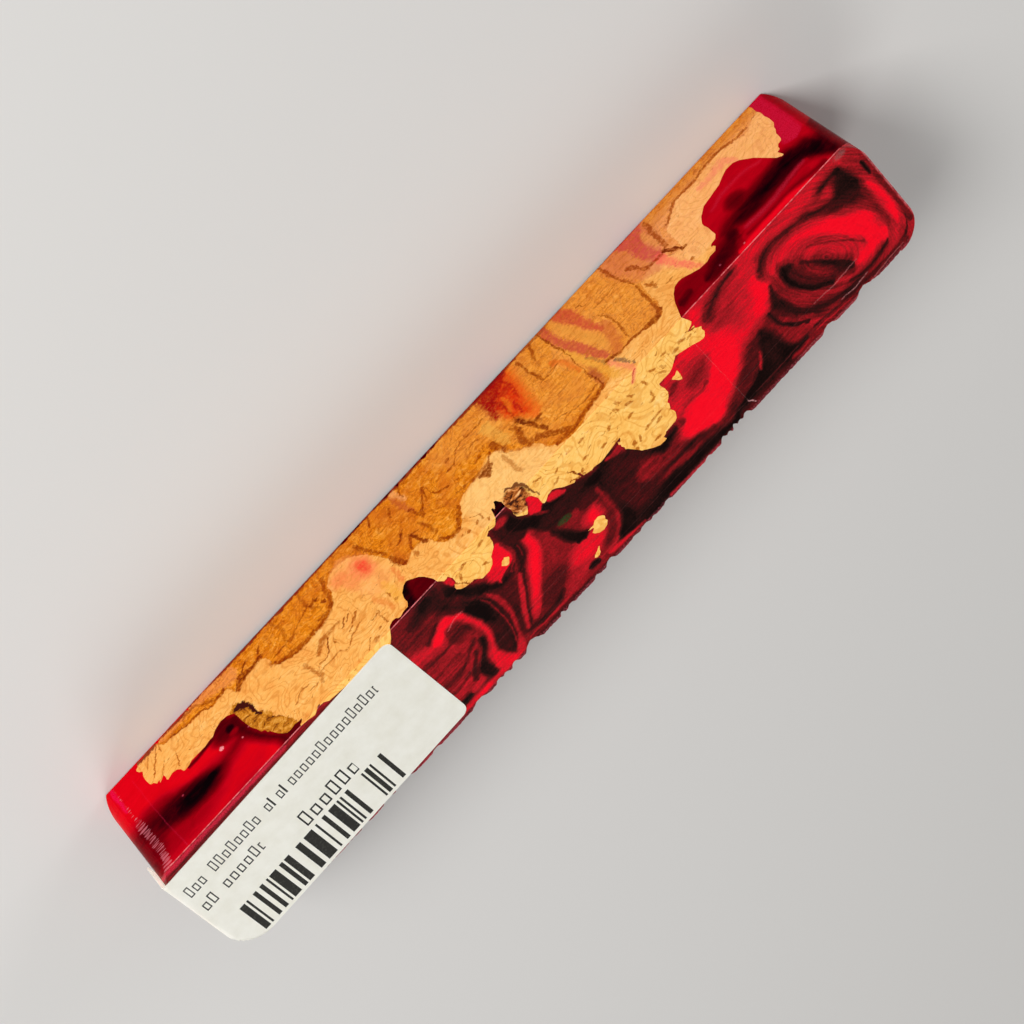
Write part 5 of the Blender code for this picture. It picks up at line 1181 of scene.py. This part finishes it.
    ("x", 0.4, 0.15, [(-12.5, 15, 0.1), (-15, 16.2, 0.14), (-17.5, 16.6, 0.14), (-19.5, 16.2, 0.1)]),
    ("x", 0.4, 0.12, [(-15, 7.9, 0.1), (-17, 8, 0.12), (-18.4, 7.6, 0.08)]),
    # past the pink stripes
    ("x", 0.75, 0.2, [(-22.2, 14.5, 0.2), (-23.5, 14.8, 0.3), (-24.6, 15.3, 0.2), (-26, 15.1, 0.16),
        (-28, 15.5, 0.25), (-29.5, 15.7, 0.35), (-30.8, 15.8, 0.6), (-31.7, 15.1, 0.6)]),
    ("s", 0.6, 0.12, [(8.4, -32.2, 0.12), (10, -32, 0.2), (12, -31.8, 0.25), (14, -31.7, 0.25),
        (15.4, -31.5, 0.3)]),
    ("s", 0.55, 0.15, [(0.5, -31.1, 0.12), (3, -31.2, 0.25), (5, -31.5, 0.2), (8, -32.1, 0.15)]),
    ("x", 0.5, 0.1, [(-25.2, 2.6, 0.08), (-25.9, 3.2, 0.14), (-26.4, 3.8, 0.08)]),
    ("x", 0.35, 0.1, [(-26.5, 5.4, 0.06), (-28.5, 5.5, 0.12), (-30.5, 5.4, 0.08)]),
    ("spot", 0.4, 0.12, (-28.9, 8, 0.2, 0.25, 0)),
    ("s", 0.45, 0.15, [(7, -26.2, 0.1), (9, -27, 0.16), (12, -26.9, 0.16), (14.5, -26.6, 0.14)]),
    ("x", 0.6, 0.25, [(-33, 5, 0.3), (-34, 6, 0.6), (-34.6, 7.4, 0.5), (-36, 7.9, 0.25), (-37.4, 8, 0.3)]),
    ("x", 0.95, 0.15, [(-37.8, 7.9, 0.35), (-38.5, 8.7, 0.6), (-39.2, 9.4, 0.55), (-39.7, 10.1, 0.35),
        (-40.3, 10.2, 0.15)]),
    ("s", 0.5, 0.2, [(1, -39.2, 0.3), (3, -39, 0.4), (5, -38.8, 0.4), (7.5, -38.6, 0.4)]),
    ("s", 0.6, 0.12, [(9.7, -33, 0.2), (10.7, -33.5, 0.35), (11.9, -33.7, 0.14)]),
    ("spot", 0.6, 0.1, (-39.3, 13.1, 0.32, 0.28, 0)),
    ("x", 0.4, 0.1, [(-34.6, 12.7, 0.06), (-35.4, 12.8, 0.14), (-36.2, 12.6, 0.06)]),
    ("x", 0.55, 0.15, [(-40.6, 4.7, 0.2), (-42, 3.9, 0.25), (-44, 2.5, 0.25), (-47, 2.6, 0.2),
        (-50.5, 2.1, 0.2), (-53, 2.2, 0.2), (-55.5, 3, 0.25), (-57, 3, 0.2)])]

# Short brown dashes in the top, as x, s and turn, with cracks and stains
DASH_HALF_LENGTH = 0.44
DASH_HALF_WIDTH = 0.17
TOP_DASHES = [
    (-15.9, 25.4, 30), (-18.6, 21.8, -60), (-19.5, 24.2, 20), (-21.2, 22, -50), (-20.4, 22.6, -30),
    (-23.6, 22.3, -70), (-23.3, 24.3, 80), (-22.8, 25.1, 5), (-26.6, 22.6, -60), (-26.1, 23.2, -50),
    (-25.3, 21.7, -30), (-29.2, 22.3, 0), (-17.3, 27.9, 60), (-18.3, 28, 60), (-20, 27.6, 20),
    (-21.1, 27.4, 10), (-22.2, 27.3, 0), (-21.6, 28.1, 5), (-17, 29, 40), (-20, 30.1, 0), (-24, 28.3, 10),
    (-16.5, 23, 30), (-19.3, 21.2, -40), (-30.5, 21.9, -10), (-31.6, 22.4, 0), (-27.8, 21.2, 10),
    (8.5, 20.9, 10), (5.2, 20.5, 10), (9.8, 21.9, 60), (-10.3, 24.6, 50), (-13, 21, 10), (-8, 21.5, 20),
    (-5.5, 20.2, -10), (-7.1, 22.7, 20), (-11.8, 23.5, 10), (-14.4, 24.4, 5), (6.4, 23.4, -40)]
TOP_CRACKS = [
    ("s", 0.9, 0.06, [(21.9, 10.8, 0.1), (22.8, 10.3, 0.12), (23.7, 9.6, 0.06)]),
    ("x", 1, 0.06, [(-33, 22, 0.1), (-31.4, 21.6, 0.05)]),
    ("s", 1, 0.06, [(22.9, -8.9, 0.05), (23.8, -9.3, 0.12), (24.8, -9.7, 0.12)]),
    ("x", 0.8, 0.08, [(-8.2, 24.4, 0.08), (-9.2, 24.9, 0.16), (-10.4, 25.3, 0.12)])]
TOP_STAINS = [
    ("s", (244, 135, 95), 0.8, 0.25, [(18, -23.6, 0.4), (19.2, -23.9, 0.35), (19.8, -23.6, 0.4),
        (20.4, -23, 0.4), (20.9, -22.5, 0.2)]),
    ("x", (200, 70, 50), 0.9, 0.08, [(-22.4, 20.8, 0.08), (-23.2, 20, 0.14), (-24, 19.4, 0.12)]),
    ("x", (240, 150, 60), 0.5, 0.4, [(-24.5, 30.6, 0.3), (-20.5, 31, 0.5), (-18, 30.6, 0.3)]),
    ("s", (225, 120, 40), 0.5, 0.3, [(22, 11.4, 0.4), (23.4, 10.4, 0.4), (24.4, 8.5, 0.3)])]
HEART_LOOKS = [
    (0.34, (172, 84, 4)), (0.42, (208, 110, 6)), (0.49, (227, 132, 14)), (0.56, (236, 148, 32)),
    (0.66, (244, 172, 76))]
FRONT_SAP_LOOKS = [
    (0.32, (234, 144, 64)), (0.43, (243, 168, 80)), (0.54, (249, 182, 96)), (0.68, (254, 202, 126))]
TOP_SAP_LOOKS = [
    (0.32, (234, 156, 64)), (0.42, (248, 184, 88)), (0.54, (254, 198, 104)), (0.68, (255, 212, 132))]

# Stains from the resin's dye and other colours in the burl: kind, colour, strength, softness, shape
STAINS = [
    ("s", (250, 158, 96), 0.4, 0.8, [(3.5, 19.6, 1.8), (6, 19, 2.4), (9, 18, 2.4), (12, 17.5, 2)]),
    ("spot", (244, 110, 70), 0.8, 1, (17.7, 6.9, 1.2, 1.9, 10)),
    ("spot", (240, 60, 40), 0.9, 0.5, (17.5, 6.9, 0.5, 1.1, 10)),
    ("spot", (240, 120, 65), 0.7, 0.8, (21, 5.2, 1.1, 0.9, 0)),
    ("spot", (242, 125, 70), 0.5, 0.7, (20, 7.5, 0.7, 1.2, 0)),
    ("s", (232, 110, 50), 0.7, 0.25, [(11.2, 15.1, 0.15), (12.8, 15, 0.3), (14.4, 15.1, 0.3)]),
    ("s", (228, 125, 50), 0.7, 0.3, [(12.6, 19.4, 0.2), (13.8, 19.2, 0.4), (15.2, 18.6, 0.4),
        (17, 18.4, 0.4)]),
    ("s", (240, 170, 50), 0.5, 0.4, [(12, 17.2, 0.3), (14, 16.9, 0.6), (16.5, 16.9, 0.7)]),
    ("s", (188, 80, 40), 0.7, 0.25, [(1.4, 8.9, 0.25), (3.5, 8.7, 0.4), (5, 8.4, 0.3), (6.5, 8, 0.25)]),
    ("s", (245, 175, 110), 0.6, 0.3, [(0.5, 8.3, 0.5), (2, 8.2, 0.4), (4, 7.6, 0.3)]),
    ("x", (238, 160, 75), 0.35, 1.2, [(1, 3, 2.6), (-2, 4, 3.6), (-7.2, 4, 3.6)]),
    ("x", (240, 164, 76), 0.35, 1.5, [(-12.5, 8, 9), (-19, 8, 9)]),
    ("x", (238, 160, 78), 0.45, 1.2, [(-24.5, 8, 8), (-31.2, 8, 8)]),
    ("x", (252, 176, 120), 0.5, 1.5, [(-40, 8, 6), (-60.5, 8, 6)]),
    ("x", (214, 130, 62), 0.5, 0.4, [(-39.5, 1, 2), (-44, 0.5, 1.8), (-60.5, 0.5, 1.8)]),
    ("s", (232, 172, 75), 0.6, 0.4, [(5.5, -6, 0.8), (8, -6.3, 0.8), (11, -6.6, 0.7)]),
    ("s", (232, 92, 12), 0.85, 0.9, [(0, -12, 1.4), (4, -11.2, 2.4), (8, -10.9, 2.2), (10, -11.4, 1.5),
        (11.4, -11.8, 0.8)]),
    ("s", (214, 38, 4), 0.95, 0.9, [(1, -10.6, 2.2), (3, -10.4, 2.3), (6, -10.4, 2), (8.8, -10.8, 0.8),
        (9.8, -11.2, 0.4)]),
    ("s", (160, 6, 6), 1, 0.5, [(-1, -10.2, 3), (1, -10.1, 2.8), (3.6, -8.7, 1.2), (5, -8.2, 0.7),
        (6.4, -7.9, 0.3)]),
    ("spot", (165, 12, 6), 0.7, 0.4, (-11.2, 3.6, 0.9, 0.6, 20)),
    ("spot", (180, 20, 6), 0.7, 0.4, (-9.6, 5.2, 0.5, 0.7, 0)),
    ("s", (253, 208, 132), 0.5, 0.8, [(10.5, -3.5, 0.8), (13, -1.5, 4.5), (16, -2.5, 6), (19, -3, 6.5)]),
    ("s", (180, 20, 12), 0.8, 0.2, [(6.4, -10.8, 0.2), (7.6, -10.8, 0.3), (9, -10.7, 0.2)]),
    ("s", (150, 18, 6), 0.7, 0.2, [(2, -9, 0.2), (4.5, -9.5, 0.25), (7, -9.7, 0.15), (9, -9.4, 0.1)]),
    ("s", (170, 22, 6), 0.7, 0.2, [(1, -11.9, 0.25), (3.5, -12.2, 0.2), (6.5, -11.8, 0.15)]),
    ("s", (240, 140, 30), 0.6, 0.25, [(4, -10.1, 0.1), (5.5, -10.3, 0.25), (7.5, -9.9, 0.15)]),
    ("s", (150, 66, 14), 0.7, 0.25, [(8.8, -9.4, 0.3), (10.5, -9.8, 0.5), (12, -10.8, 0.3),
        (13, -11.4, 0.2)]),
    ("s", (225, 100, 22), 0.75, 0.35, [(6.5, -17.8, 0.4), (8, -18.7, 0.5), (10, -19.1, 0.4),
        (12, -19.4, 0.3)]),
    ("s", (236, 165, 60), 0.8, 0.3, [(5, -19.9, 0.25), (9, -20.3, 0.4), (12, -20.9, 0.5), (15, -21.4, 0.6),
        (18, -21.9, 0.6)]),
    ("s", (196, 62, 55), 0.85, 0.25, [(0.3, -20.1, 0.6), (3, -20.2, 0.65), (6, -20.6, 0.7),
        (8, -21.3, 0.75), (10, -21.8, 0.75), (12, -22.4, 0.65), (13.9, -23, 0.4)]),
    ("s", (200, 60, 46), 0.85, 0.35, [(0.3, -22.9, 1), (2.5, -23.5, 1.2), (4.5, -24, 0.9),
        (6.2, -24.4, 0.8), (8, -24.8, 0.6), (9.5, -25.2, 0.4)]),
    ("s", (226, 150, 60), 0.7, 0.3, [(1, -21.6, 0.35), (4, -22.2, 0.5), (7, -22.9, 0.6), (9.5, -23.6, 0.7),
        (12, -24.3, 0.6)]),
    ("s", (200, 90, 45), 0.65, 0.4, [(8.5, -25.9, 0.5), (11, -25.6, 0.9), (13, -25.2, 1),
        (14.6, -24.4, 0.9)]),
    ("spot", (165, 55, 40), 0.75, 0.35, (-20.2, 15, 0.5, 1.7, -6)),
    ("s", (150, 108, 48), 0.6, 0.15, [(10.8, -21.1, 0.08), (12.5, -21.7, 0.2), (14.5, -22.1, 0.2)]),
    ("s", (244, 135, 95), 0.8, 0.25, [(15, -22.7, 0.5), (16.5, -23, 0.45), (18, -23.6, 0.4),
        (19.2, -23.9, 0.35), (19.8, -23.6, 0.4), (20.4, -23, 0.4), (20.9, -22.5, 0.2)]),
    ("x", (205, 80, 60), 0.8, 0.08, [(-22.4, 20.8, 0.08), (-23.2, 20, 0.12), (-24, 19.4, 0.1)]),
    ("s", (118, 84, 58), 0.85, 0.15, [(15.4, -23.3, 0.25), (16.4, -23.8, 0.35), (17.6, -24, 0.2),
        (18.8, -24.5, 0.15)]),
    ("s", (214, 112, 75), 0.65, 0.8, [(0.3, -35, 4.2), (6, -35.2, 3.4), (8, -35.4, 2.6)]),
    ("s", (202, 66, 66), 0.85, 0.35, [(-1, -36.4, 2.6), (1, -36.4, 2.2), (2.2, -36.3, 1.3), (4, -36.1, 1),
        (6, -36.4, 1), (7.8, -36.9, 0.8)]),
    ("s", (228, 150, 75), 0.7, 0.3, [(2.4, -37.8, 0.4), (6, -38.1, 0.5)]),
    ("s", (245, 105, 85), 0.8, 0.3, [(8, -36.8, 0.9), (10, -37.2, 0.65), (14, -38.6, 0.45),
        (15.6, -39.1, 0.4)]),
    ("x", (246, 130, 100), 0.7, 0.4, [(-46.8, 4.5, 0.4), (-48.5, 4.6, 0.6), (-50.2, 4.3, 0.7),
        (-51.5, 4.3, 0.9), (-52.3, 5, 0.9), (-53, 5.8, 0.3)]),
    ("x", (240, 150, 90), 0.5, 0.5, [(53.5, 0.5, 0.6), (50, 0.7, 0.7), (46, 0.8, 0.7), (42, 1.5, 1.2),
        (39.5, 2.2, 1.6)])]

# The bark left on the edge beside the label's end, and the dark crevice round it
BARK = [
    (8.2, 41.6, 1.5), (9.5, 41.7, 1.6), (11, 41.6, 1.6), (12.2, 41, 2), (13.2, 40.8, 2.2),
    (14.4, 40.6, 2.2), (15.2, 40.2, 2.4), (16.2, 39.8, 2.5), (17.2, 39.4, 2.4), (18.2, 38.6, 1.8),
    (18.9, 37.2, 0.9)]
BARK_CREVICE = [
    (8.1, 41.1, 0.9), (8.5, 40.5, 0.5), (9.3, 40, 0.3), (10.4, 39.95, 0.25), (11.5, 39.9, 0.2),
    (12.2, 39.5, 0.12)]


# The knot's middle, half widths and turn, its colours, and the dark arc round one side of it
KNOT = (-1.9, 19.9, 1.75, 2.3, 0)
KNOT_LOOKS = [(0.40, (58, 22, 8)), (0.47, (142, 70, 24)), (0.55, (202, 118, 52)), (0.66, (240, 184, 122))]
KNOT_ARC = [(17.3, -1.9, 0.4), (17.6, -2.8, 0.5), (18.2, -3.4, 0.35), (19, -3.75, 0.26), (20, -3.95, 0.2),
    (21, -4.15, 0.14), (22.2, -4.4, 0.08)]

# The bark's colours
BARK_LOOKS = [(0.36, (84, 32, 8)), (0.44, (156, 84, 14)), (0.54, (204, 128, 30)), (0.66, (226, 164, 74))]

# The burl's smaller colours. Those marked as washes are multiplied in.
SAP_LINE_WASH = (226, 190, 138)
SAP_DASH_WASH = (186, 142, 84)
HEART_LINE_WASH = (196, 150, 84)
HEART_FLECK_WASH = (186, 146, 84)
HEART_GLINT = (252, 184, 84)
HEART_RIM_WASH = (186, 140, 72)
HEART_BLUSH = (206, 104, 28)
RIPPLE_WASH = (226, 200, 164)
FAINT_MARK_WASH = (186, 140, 72)
FULL_MARK_WASH = (168, 116, 66)
RESIN_SKIN = (128, 14, 16)
SKIN_FADES_FROM, SKIN_FULL_FROM = -30, -10
CREVICE = (62, 12, 8)
KNOT_ARC_BROWN = (96, 34, 6)


def contours(finish, sheet, size, count):
    """Fine lines that flow round slow swells, as growth rings do in burl."""
    swell = finish.noise(sheet.place, size, 2.0, 0.4, 0.8)
    return finish.soft(finish.maths("SINE", swell * count), 0.3, 1.0)


def sapwood(finish, sheet, looks):
    """Pale sapwood with fine grain, growth lines and tiny brown dashes."""
    grain = finish.noise(finish.vector(sheet.x * 0.5 + sheet.s * 0.25, sheet.s * 1.3 - sheet.x * 0.3, 0.0),
                         1.3, 5.0, 0.65, 1.6)
    clouds = finish.noise(sheet.place, 0.28, 3.0, 0.6, 0.6)
    colour = finish.node("ValToRGB", {"stops": looks}, {"Fac": grain * 0.65 + clouds * 0.35})
    lines = contours(finish, sheet, 0.16, 85.0)
    colour = finish.tint(colour, srgb(SAP_LINE_WASH), lines * 0.48, "MULTIPLY")
    dashes = finish.noise(finish.vector(sheet.x * 0.9 + sheet.s * 0.5, sheet.s * 2.8 - sheet.x * 0.9, 0.0),
                          1.0, 1.0, 0.5, 0.6)
    return finish.tint(colour, srgb(SAP_DASH_WASH), finish.soft(dashes, 0.68, 0.76) * 0.8, "MULTIPLY")


def marked(finish, sheet, colour, marks, fine, ragged):
    """A colour deepened by brown marks with broken edges."""
    brown = painted(finish, sheet, 0.0, marks, 1.0, ragged * 0.35)
    broken = finish.soft(fine, 0.34, 0.56) * 0.5 + 0.45
    colour = finish.tint(colour, srgb(FAINT_MARK_WASH), finish.soft(brown, 0.0, 0.55) * broken, "MULTIPLY")
    return finish.tint(colour, srgb(FULL_MARK_WASH), finish.soft(brown, 0.55, 1.0) * broken, "MULTIPLY")


def knotted(finish, sheet, colour, ragged):
    """A colour with the knot laid on it, and a dark arc round one side."""
    knot = finish.node("ValToRGB", {"stops": KNOT_LOOKS},
                       {"Fac": finish.noise(sheet.place, 0.8, 4.0, 0.75, 0.8)})
    colour = finish.tint(colour, knot, finish.spot(sheet, *KNOT, 0.25))
    line = finish.band(sheet.s, sheet.x, KNOT_ARC, 0.12, ragged * 0.25)
    return finish.tint(colour, srgb(KNOT_ARC_BROWN), line * 0.9)


def burl_finish():
    """Burl: golden figured heart above pale sapwood, with bark, a knot and dye stains."""
    finish = Finish("burl_wood", Roughness=0.16, Specular_IOR_Level=0.03)
    sheet = Sheet(finish, 0.5)
    sheet.x = sheet.x + (finish.noise(sheet.place, 1.7, 3.0, 0.65) - 0.5) * 1.0
    sheet.s = sheet.s + (finish.noise(sheet.place, 1.4, 3.0, 0.6) - 0.5) * 0.8
    edge = None
    for span in HEART_EDGE:
        line = finish.curve(sheet.x, span)
        edge = line if edge is None else finish.blend(line, edge, sheet.x > span[0][0])
    depth = edge - sheet.s
    fine = finish.noise(sheet.place, 2.4, 4.0, 0.65)
    ragged = (fine - 0.5) * 0.8

    # the heart's figure: warped clouds of gold, fine ripples and growth lines
    clouds = finish.noise(finish.vector(sheet.x * 1.2, sheet.s * 0.8, 3.0), 0.3, 6.0, 0.66, 3.2)
    ripples = finish.noise(finish.vector(sheet.x * 0.55 + clouds * 6.0, sheet.s * 2.4, 7.0),
                           1.0, 4.0, 0.62, 1.0)
    heart = finish.node("ValToRGB", {"stops": HEART_LOOKS}, {"Fac": clouds * 0.7 + ripples * 0.3})
    lines = contours(finish, sheet, 0.22, 70.0) * finish.soft(fine, 0.3, 0.6)
    heart = finish.tint(heart, srgb(HEART_LINE_WASH), lines * 0.55, "MULTIPLY")
    flecks = finish.noise(finish.vector(sheet.x * 1.3 + clouds * 5.0, sheet.s * 1.7, 2.0), 1.0, 3.0, 0.7, 1.5)
    heart = finish.tint(heart, srgb(HEART_FLECK_WASH), finish.soft(flecks, 0.54, 0.68) * 0.4, "MULTIPLY")
    heart = finish.tint(heart, srgb(HEART_GLINT), finish.soft(flecks, 0.48, 0.34) * 0.4)
    rim = finish.soft(depth + ragged, 0.8, 0.15)
    heart = finish.tint(heart, srgb(HEART_RIM_WASH), rim * finish.soft(fine, 0.3, 0.65) * 0.4, "MULTIPLY")
    blush = finish.noise(sheet.place, 0.13, 3.0, 0.6, 1.0)
    heart = finish.tint(heart, srgb(HEART_BLUSH), finish.soft(blush, 0.48, 0.68) * 0.5)

    # sapwood beyond the heart's edge, and the stains and marks over both
    sap = finish.soft(depth + ragged * 0.5, 0.12, -0.08)
    front = finish.tint(heart, sapwood(finish, sheet, FRONT_SAP_LOOKS), sap)
    mottled = finish.soft(fine * 0.5 + ripples * 0.5, 0.34, 0.6) * 0.5 + 0.5
    front = stained(finish, sheet, front, STAINS, mottled, ragged * 1.3)
    rippled = finish.soft(ripples, 0.54, 0.36) * (0.6 - sap * 0.3)
    front = finish.tint(front, srgb(RIPPLE_WASH), rippled, "MULTIPLY")
    front = marked(finish, sheet, front, BROWN_MARKS, fine, ragged)

    # the resin's skin along the bottom edge
    skin = finish.soft(sheet.z + (fine - 0.5) * 1.2 + (blush - 0.5) * 2.0, 1.0, 0.7)
    skin = skin * finish.soft(sheet.x, SKIN_FADES_FROM, SKIN_FULL_FROM)
    front = finish.tint(front, srgb(RESIN_SKIN), skin * 0.9)

    # bark, its crevice, and the knot
    bark = finish.node("ValToRGB", {"stops": BARK_LOOKS},
                       {"Fac": finish.noise(sheet.place, 0.9, 5.0, 0.72, 0.8)})
    front = finish.tint(front, bark, finish.band(sheet.s, sheet.x, BARK, 0.12, ragged))
    crevice = finish.band(sheet.s, sheet.x, BARK_CREVICE, 0.12, ragged * 0.6)
    front = finish.tint(front, srgb(CREVICE), crevice)
    front = knotted(finish, sheet, front, ragged)
    finish.feed(finish.shader.inputs["Base Color"], front)

    # the sanded top
    top = sapwood(finish, sheet, TOP_SAP_LOOKS)
    top = stained(finish, sheet, top, TOP_STAINS, finish.soft(fine, 0.1, 0.55) * 0.4 + 0.6, ragged * 0.5)
    dashes = [("spot", 0.55, 0.12, (x, s, DASH_HALF_LENGTH, DASH_HALF_WIDTH, turn))
              for x, s, turn in TOP_DASHES]
    top = marked(finish, sheet, top, TOP_CRACKS + dashes, fine, ragged)
    top = knotted(finish, sheet, top, ragged)
    finish.second_coat(sheet.true_s > SIDE / MM,
                       {"Base Color": top, "Roughness": 0.5, "Specular IOR Level": 0.1})
    return finish.material


def chip_finish():
    """Loose chips of sapwood."""
    finish = Finish("burl_chip", Roughness=0.45, Specular_IOR_Level=0.1)
    sheet = Sheet(finish, 0.5)
    finish.feed(finish.shader.inputs["Base Color"], sapwood(finish, sheet, TOP_SAP_LOOKS))
    return finish.material


# One cell of a dash row, as shares of its width and height, and how often each kind of cell comes
BOX_MIDDLE, BOX_HALF, HOLE_HALF, BOX_RIM = 0.42, 0.33, 0.19, 0.11
BAR_WIDTH = 0.24
TALL_FROM, BAR_FROM, GAP_FROM = 0.55, 0.80, 0.90
STRIPE_FROM = 0.42
PAPER_LOOKS = [(0.3, (240, 236, 218)), (0.7, (250, 247, 232))]
INK = (24, 22, 16)
# the painted glow on the folded flap's inner side
FLAP_GLOW = (200, 195, 180)


def dash_row(finish, along, across, start, end, baseline, height, pitch, seed):
    """A row of invented dashes and little open boxes."""
    along_row = (start - along) / pitch
    cell = finish.maths("FLOOR", along_row)
    in_cell = along_row - cell
    pick = finish.node("TexWhiteNoise", {"noise_dimensions": "1D"}, {"W": cell + seed})
    rise = (baseline - across) / height
    half = (pick > TALL_FROM) * 0.15 + 0.35
    off_mid = abs(in_cell - BOX_MIDDLE)
    off_line = abs(rise - half)
    box = (off_mid < BOX_HALF) * (off_line < half)
    hole = (off_mid < HOLE_HALF) * (off_line < half - BOX_RIM)
    bar = (in_cell < BAR_WIDTH) * (abs(rise - 0.5) < 0.5)
    drawn = finish.blend(box - hole, bar, pick > BAR_FROM) * (pick < GAP_FROM)
    return drawn * (along < start) * (along > end)


def paper_finish():
    """White label paper with a plain printed pattern: three rows of dashes and a block of stripes."""
    finish = Finish("label_paper", Roughness=0.55, Specular_IOR_Level=0.3, Subsurface_Weight=0.5,
                    Subsurface_Radius=(1.0, 1.0, 1.0), Subsurface_Scale=0.0008, Emission_Strength=1.0)
    place = finish.scaled(finish.node("TexCoord", {}, {}, "Object"), 1.0 / MM)
    paper = finish.node("ValToRGB", {"stops": PAPER_LOOKS}, {"Fac": finish.noise(place, 0.35, 4.0, 0.6)})
    x, y, z = finish.parts(place)
    along = x - BLANK_X / MM
    across = y - (along - LABEL_MIDDLE) * math.tan(LABEL_TURN)
    drawn = None
    for row in DASH_ROWS:
        marks = dash_row(finish, along, across, *row)
        drawn = marks if drawn is None else drawn + marks
    start, end, low, high, module = STRIPES
    cell = finish.maths("FLOOR", along / module)
    pick = finish.node("TexWhiteNoise", {"noise_dimensions": "1D"}, {"W": cell})
    stripes = (pick > STRIPE_FROM) * (along < start) * (along > end) * (across > low) * (across < high)
    drawn = (drawn + stripes) * (z > (SIDE + LABEL_GAP) / MM)
    ink = finish.soft(finish.noise(place, 3.0, 2.0), 0.25, 0.5)
    finish.feed(finish.shader.inputs["Base Color"],
                finish.tint(paper, srgb(INK), drawn * (ink * 0.03 + 0.965)))

    # a painted glow: emission on the flap's inner side stands in for light coming through the thin paper
    out_x = finish.parts(finish.node("NewGeometry", {}, {}, "True Normal"))[0]
    glow = finish.tint(srgb((0, 0, 0)), srgb(FLAP_GLOW), finish.soft(out_x, -0.4, -0.9))
    finish.feed(finish.shader.inputs["Emission Color"], glow)
    return finish.material


def floor_finish():
    """A plain pale floor."""
    finish = Finish("pale_floor", Roughness=0.7)
    finish.feed(finish.shader.inputs["Base Color"], srgb(FLOOR_GREY))
    return finish.material


# Putting it together

def dress(piece, material, node):
    """Give a piece its finish and its place in the frame."""
    piece.data.materials.clear()
    piece.data.materials.append(material)
    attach(piece, "root")
    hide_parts(node)


resin = resin_finish()
burl = burl_finish()
chip_wood = chip_finish()

blank = squared_blank()
room = burl_room()
film = film_cutter()
cut(room, film, "DIFFERENCE")

burl_slab = copied(room, "burl_slab")
cut(burl_slab, blank, "INTERSECT")
resin_casting = copied(blank, "resin_casting")
cut(resin_casting, room, "DIFFERENCE")
chips = []
for node, depth, outline in CHIPS:
    pocket = chip(node + "_pocket", outline, depth, 1.0)
    cut(resin_casting, pocket, "DIFFERENCE")
    discard(pocket)
    chips.append(chip("loose_" + node, outline, depth, 0.0))
discard(blank, room, film)
label = paper_label()

for piece in [burl_slab, resin_casting] + chips:
    smoothed(piece, SHARP_FROM)

dress(burl_slab, burl, "burl_wood")
dress(resin_casting, resin, "cast_resin")
dress(label, paper_finish(), "price_label")
for piece, (node, depth, outline) in zip(chips, CHIPS):
    dress(piece, chip_wood, node)


# The stage

bpy.ops.object.select_all(action="DESELECT")
bpy.ops.mesh.primitive_plane_add(size=FLOOR_SIZE)
floor = bpy.context.object
floor.name = floor.data.name = "pale_floor"
floor.data.materials.append(floor_finish())


def soft_light(name, place, aim, size, power):
    """A square softbox, aimed at a point."""
    light = bpy.data.lights.new(name, "AREA")
    light.shape = "SQUARE"
    light.size = size
    light.energy = power
    lamp = bpy.data.objects.new(name, light)
    bpy.context.scene.collection.objects.link(lamp)
    lamp.location = place
    lamp.rotation_euler = (Vector(aim) - Vector(place)).to_track_quat("-Z", "Y").to_euler()


for softbox in SOFTBOXES:
    soft_light(*softbox)

world = bpy.data.worlds.new("studio")
world.use_nodes = True
world.node_tree.nodes["Background"].inputs["Color"].default_value = (1.0, 1.0, 1.0, 1.0)
world.node_tree.nodes["Background"].inputs["Strength"].default_value = WORLD_STRENGTH
bpy.context.scene.world = world
bpy.context.scene.view_settings.view_transform = "Standard"

# The camera, as in the photograph: a long lens looking down at the front and the top, tilted over
CAMERA_PLACE = Vector((1.424, -289.889, 352.294)) * MM
CAMERA_YAW = -0.0076
CAMERA_PITCH = 0.8687
CAMERA_ROLL = 2.3156
CAMERA_LENS = 123.0
CAMERA_SENSOR = 36.0
CAMERA_NEAR = 0.01

ahead = Vector((math.sin(CAMERA_YAW) * math.cos(CAMERA_PITCH), math.cos(CAMERA_YAW) * math.cos(CAMERA_PITCH),
                -math.sin(CAMERA_PITCH)))
level = Vector((math.cos(CAMERA_YAW), -math.sin(CAMERA_YAW), 0.0))
upward = level.cross(ahead)
right = level * math.cos(CAMERA_ROLL) + upward * math.sin(CAMERA_ROLL)
up = upward * math.cos(CAMERA_ROLL) - level * math.sin(CAMERA_ROLL)
camera = bpy.data.objects.new("camera", bpy.data.cameras.new("camera"))
camera.data.lens = CAMERA_LENS
camera.data.sensor_width = CAMERA_SENSOR
camera.data.clip_start = CAMERA_NEAR
turn = Matrix((right, up, -ahead)).transposed()
camera.matrix_world = Matrix.Translation(CAMERA_PLACE) @ turn.to_4x4()
bpy.context.scene.collection.objects.link(camera)
bpy.context.scene.camera = camera
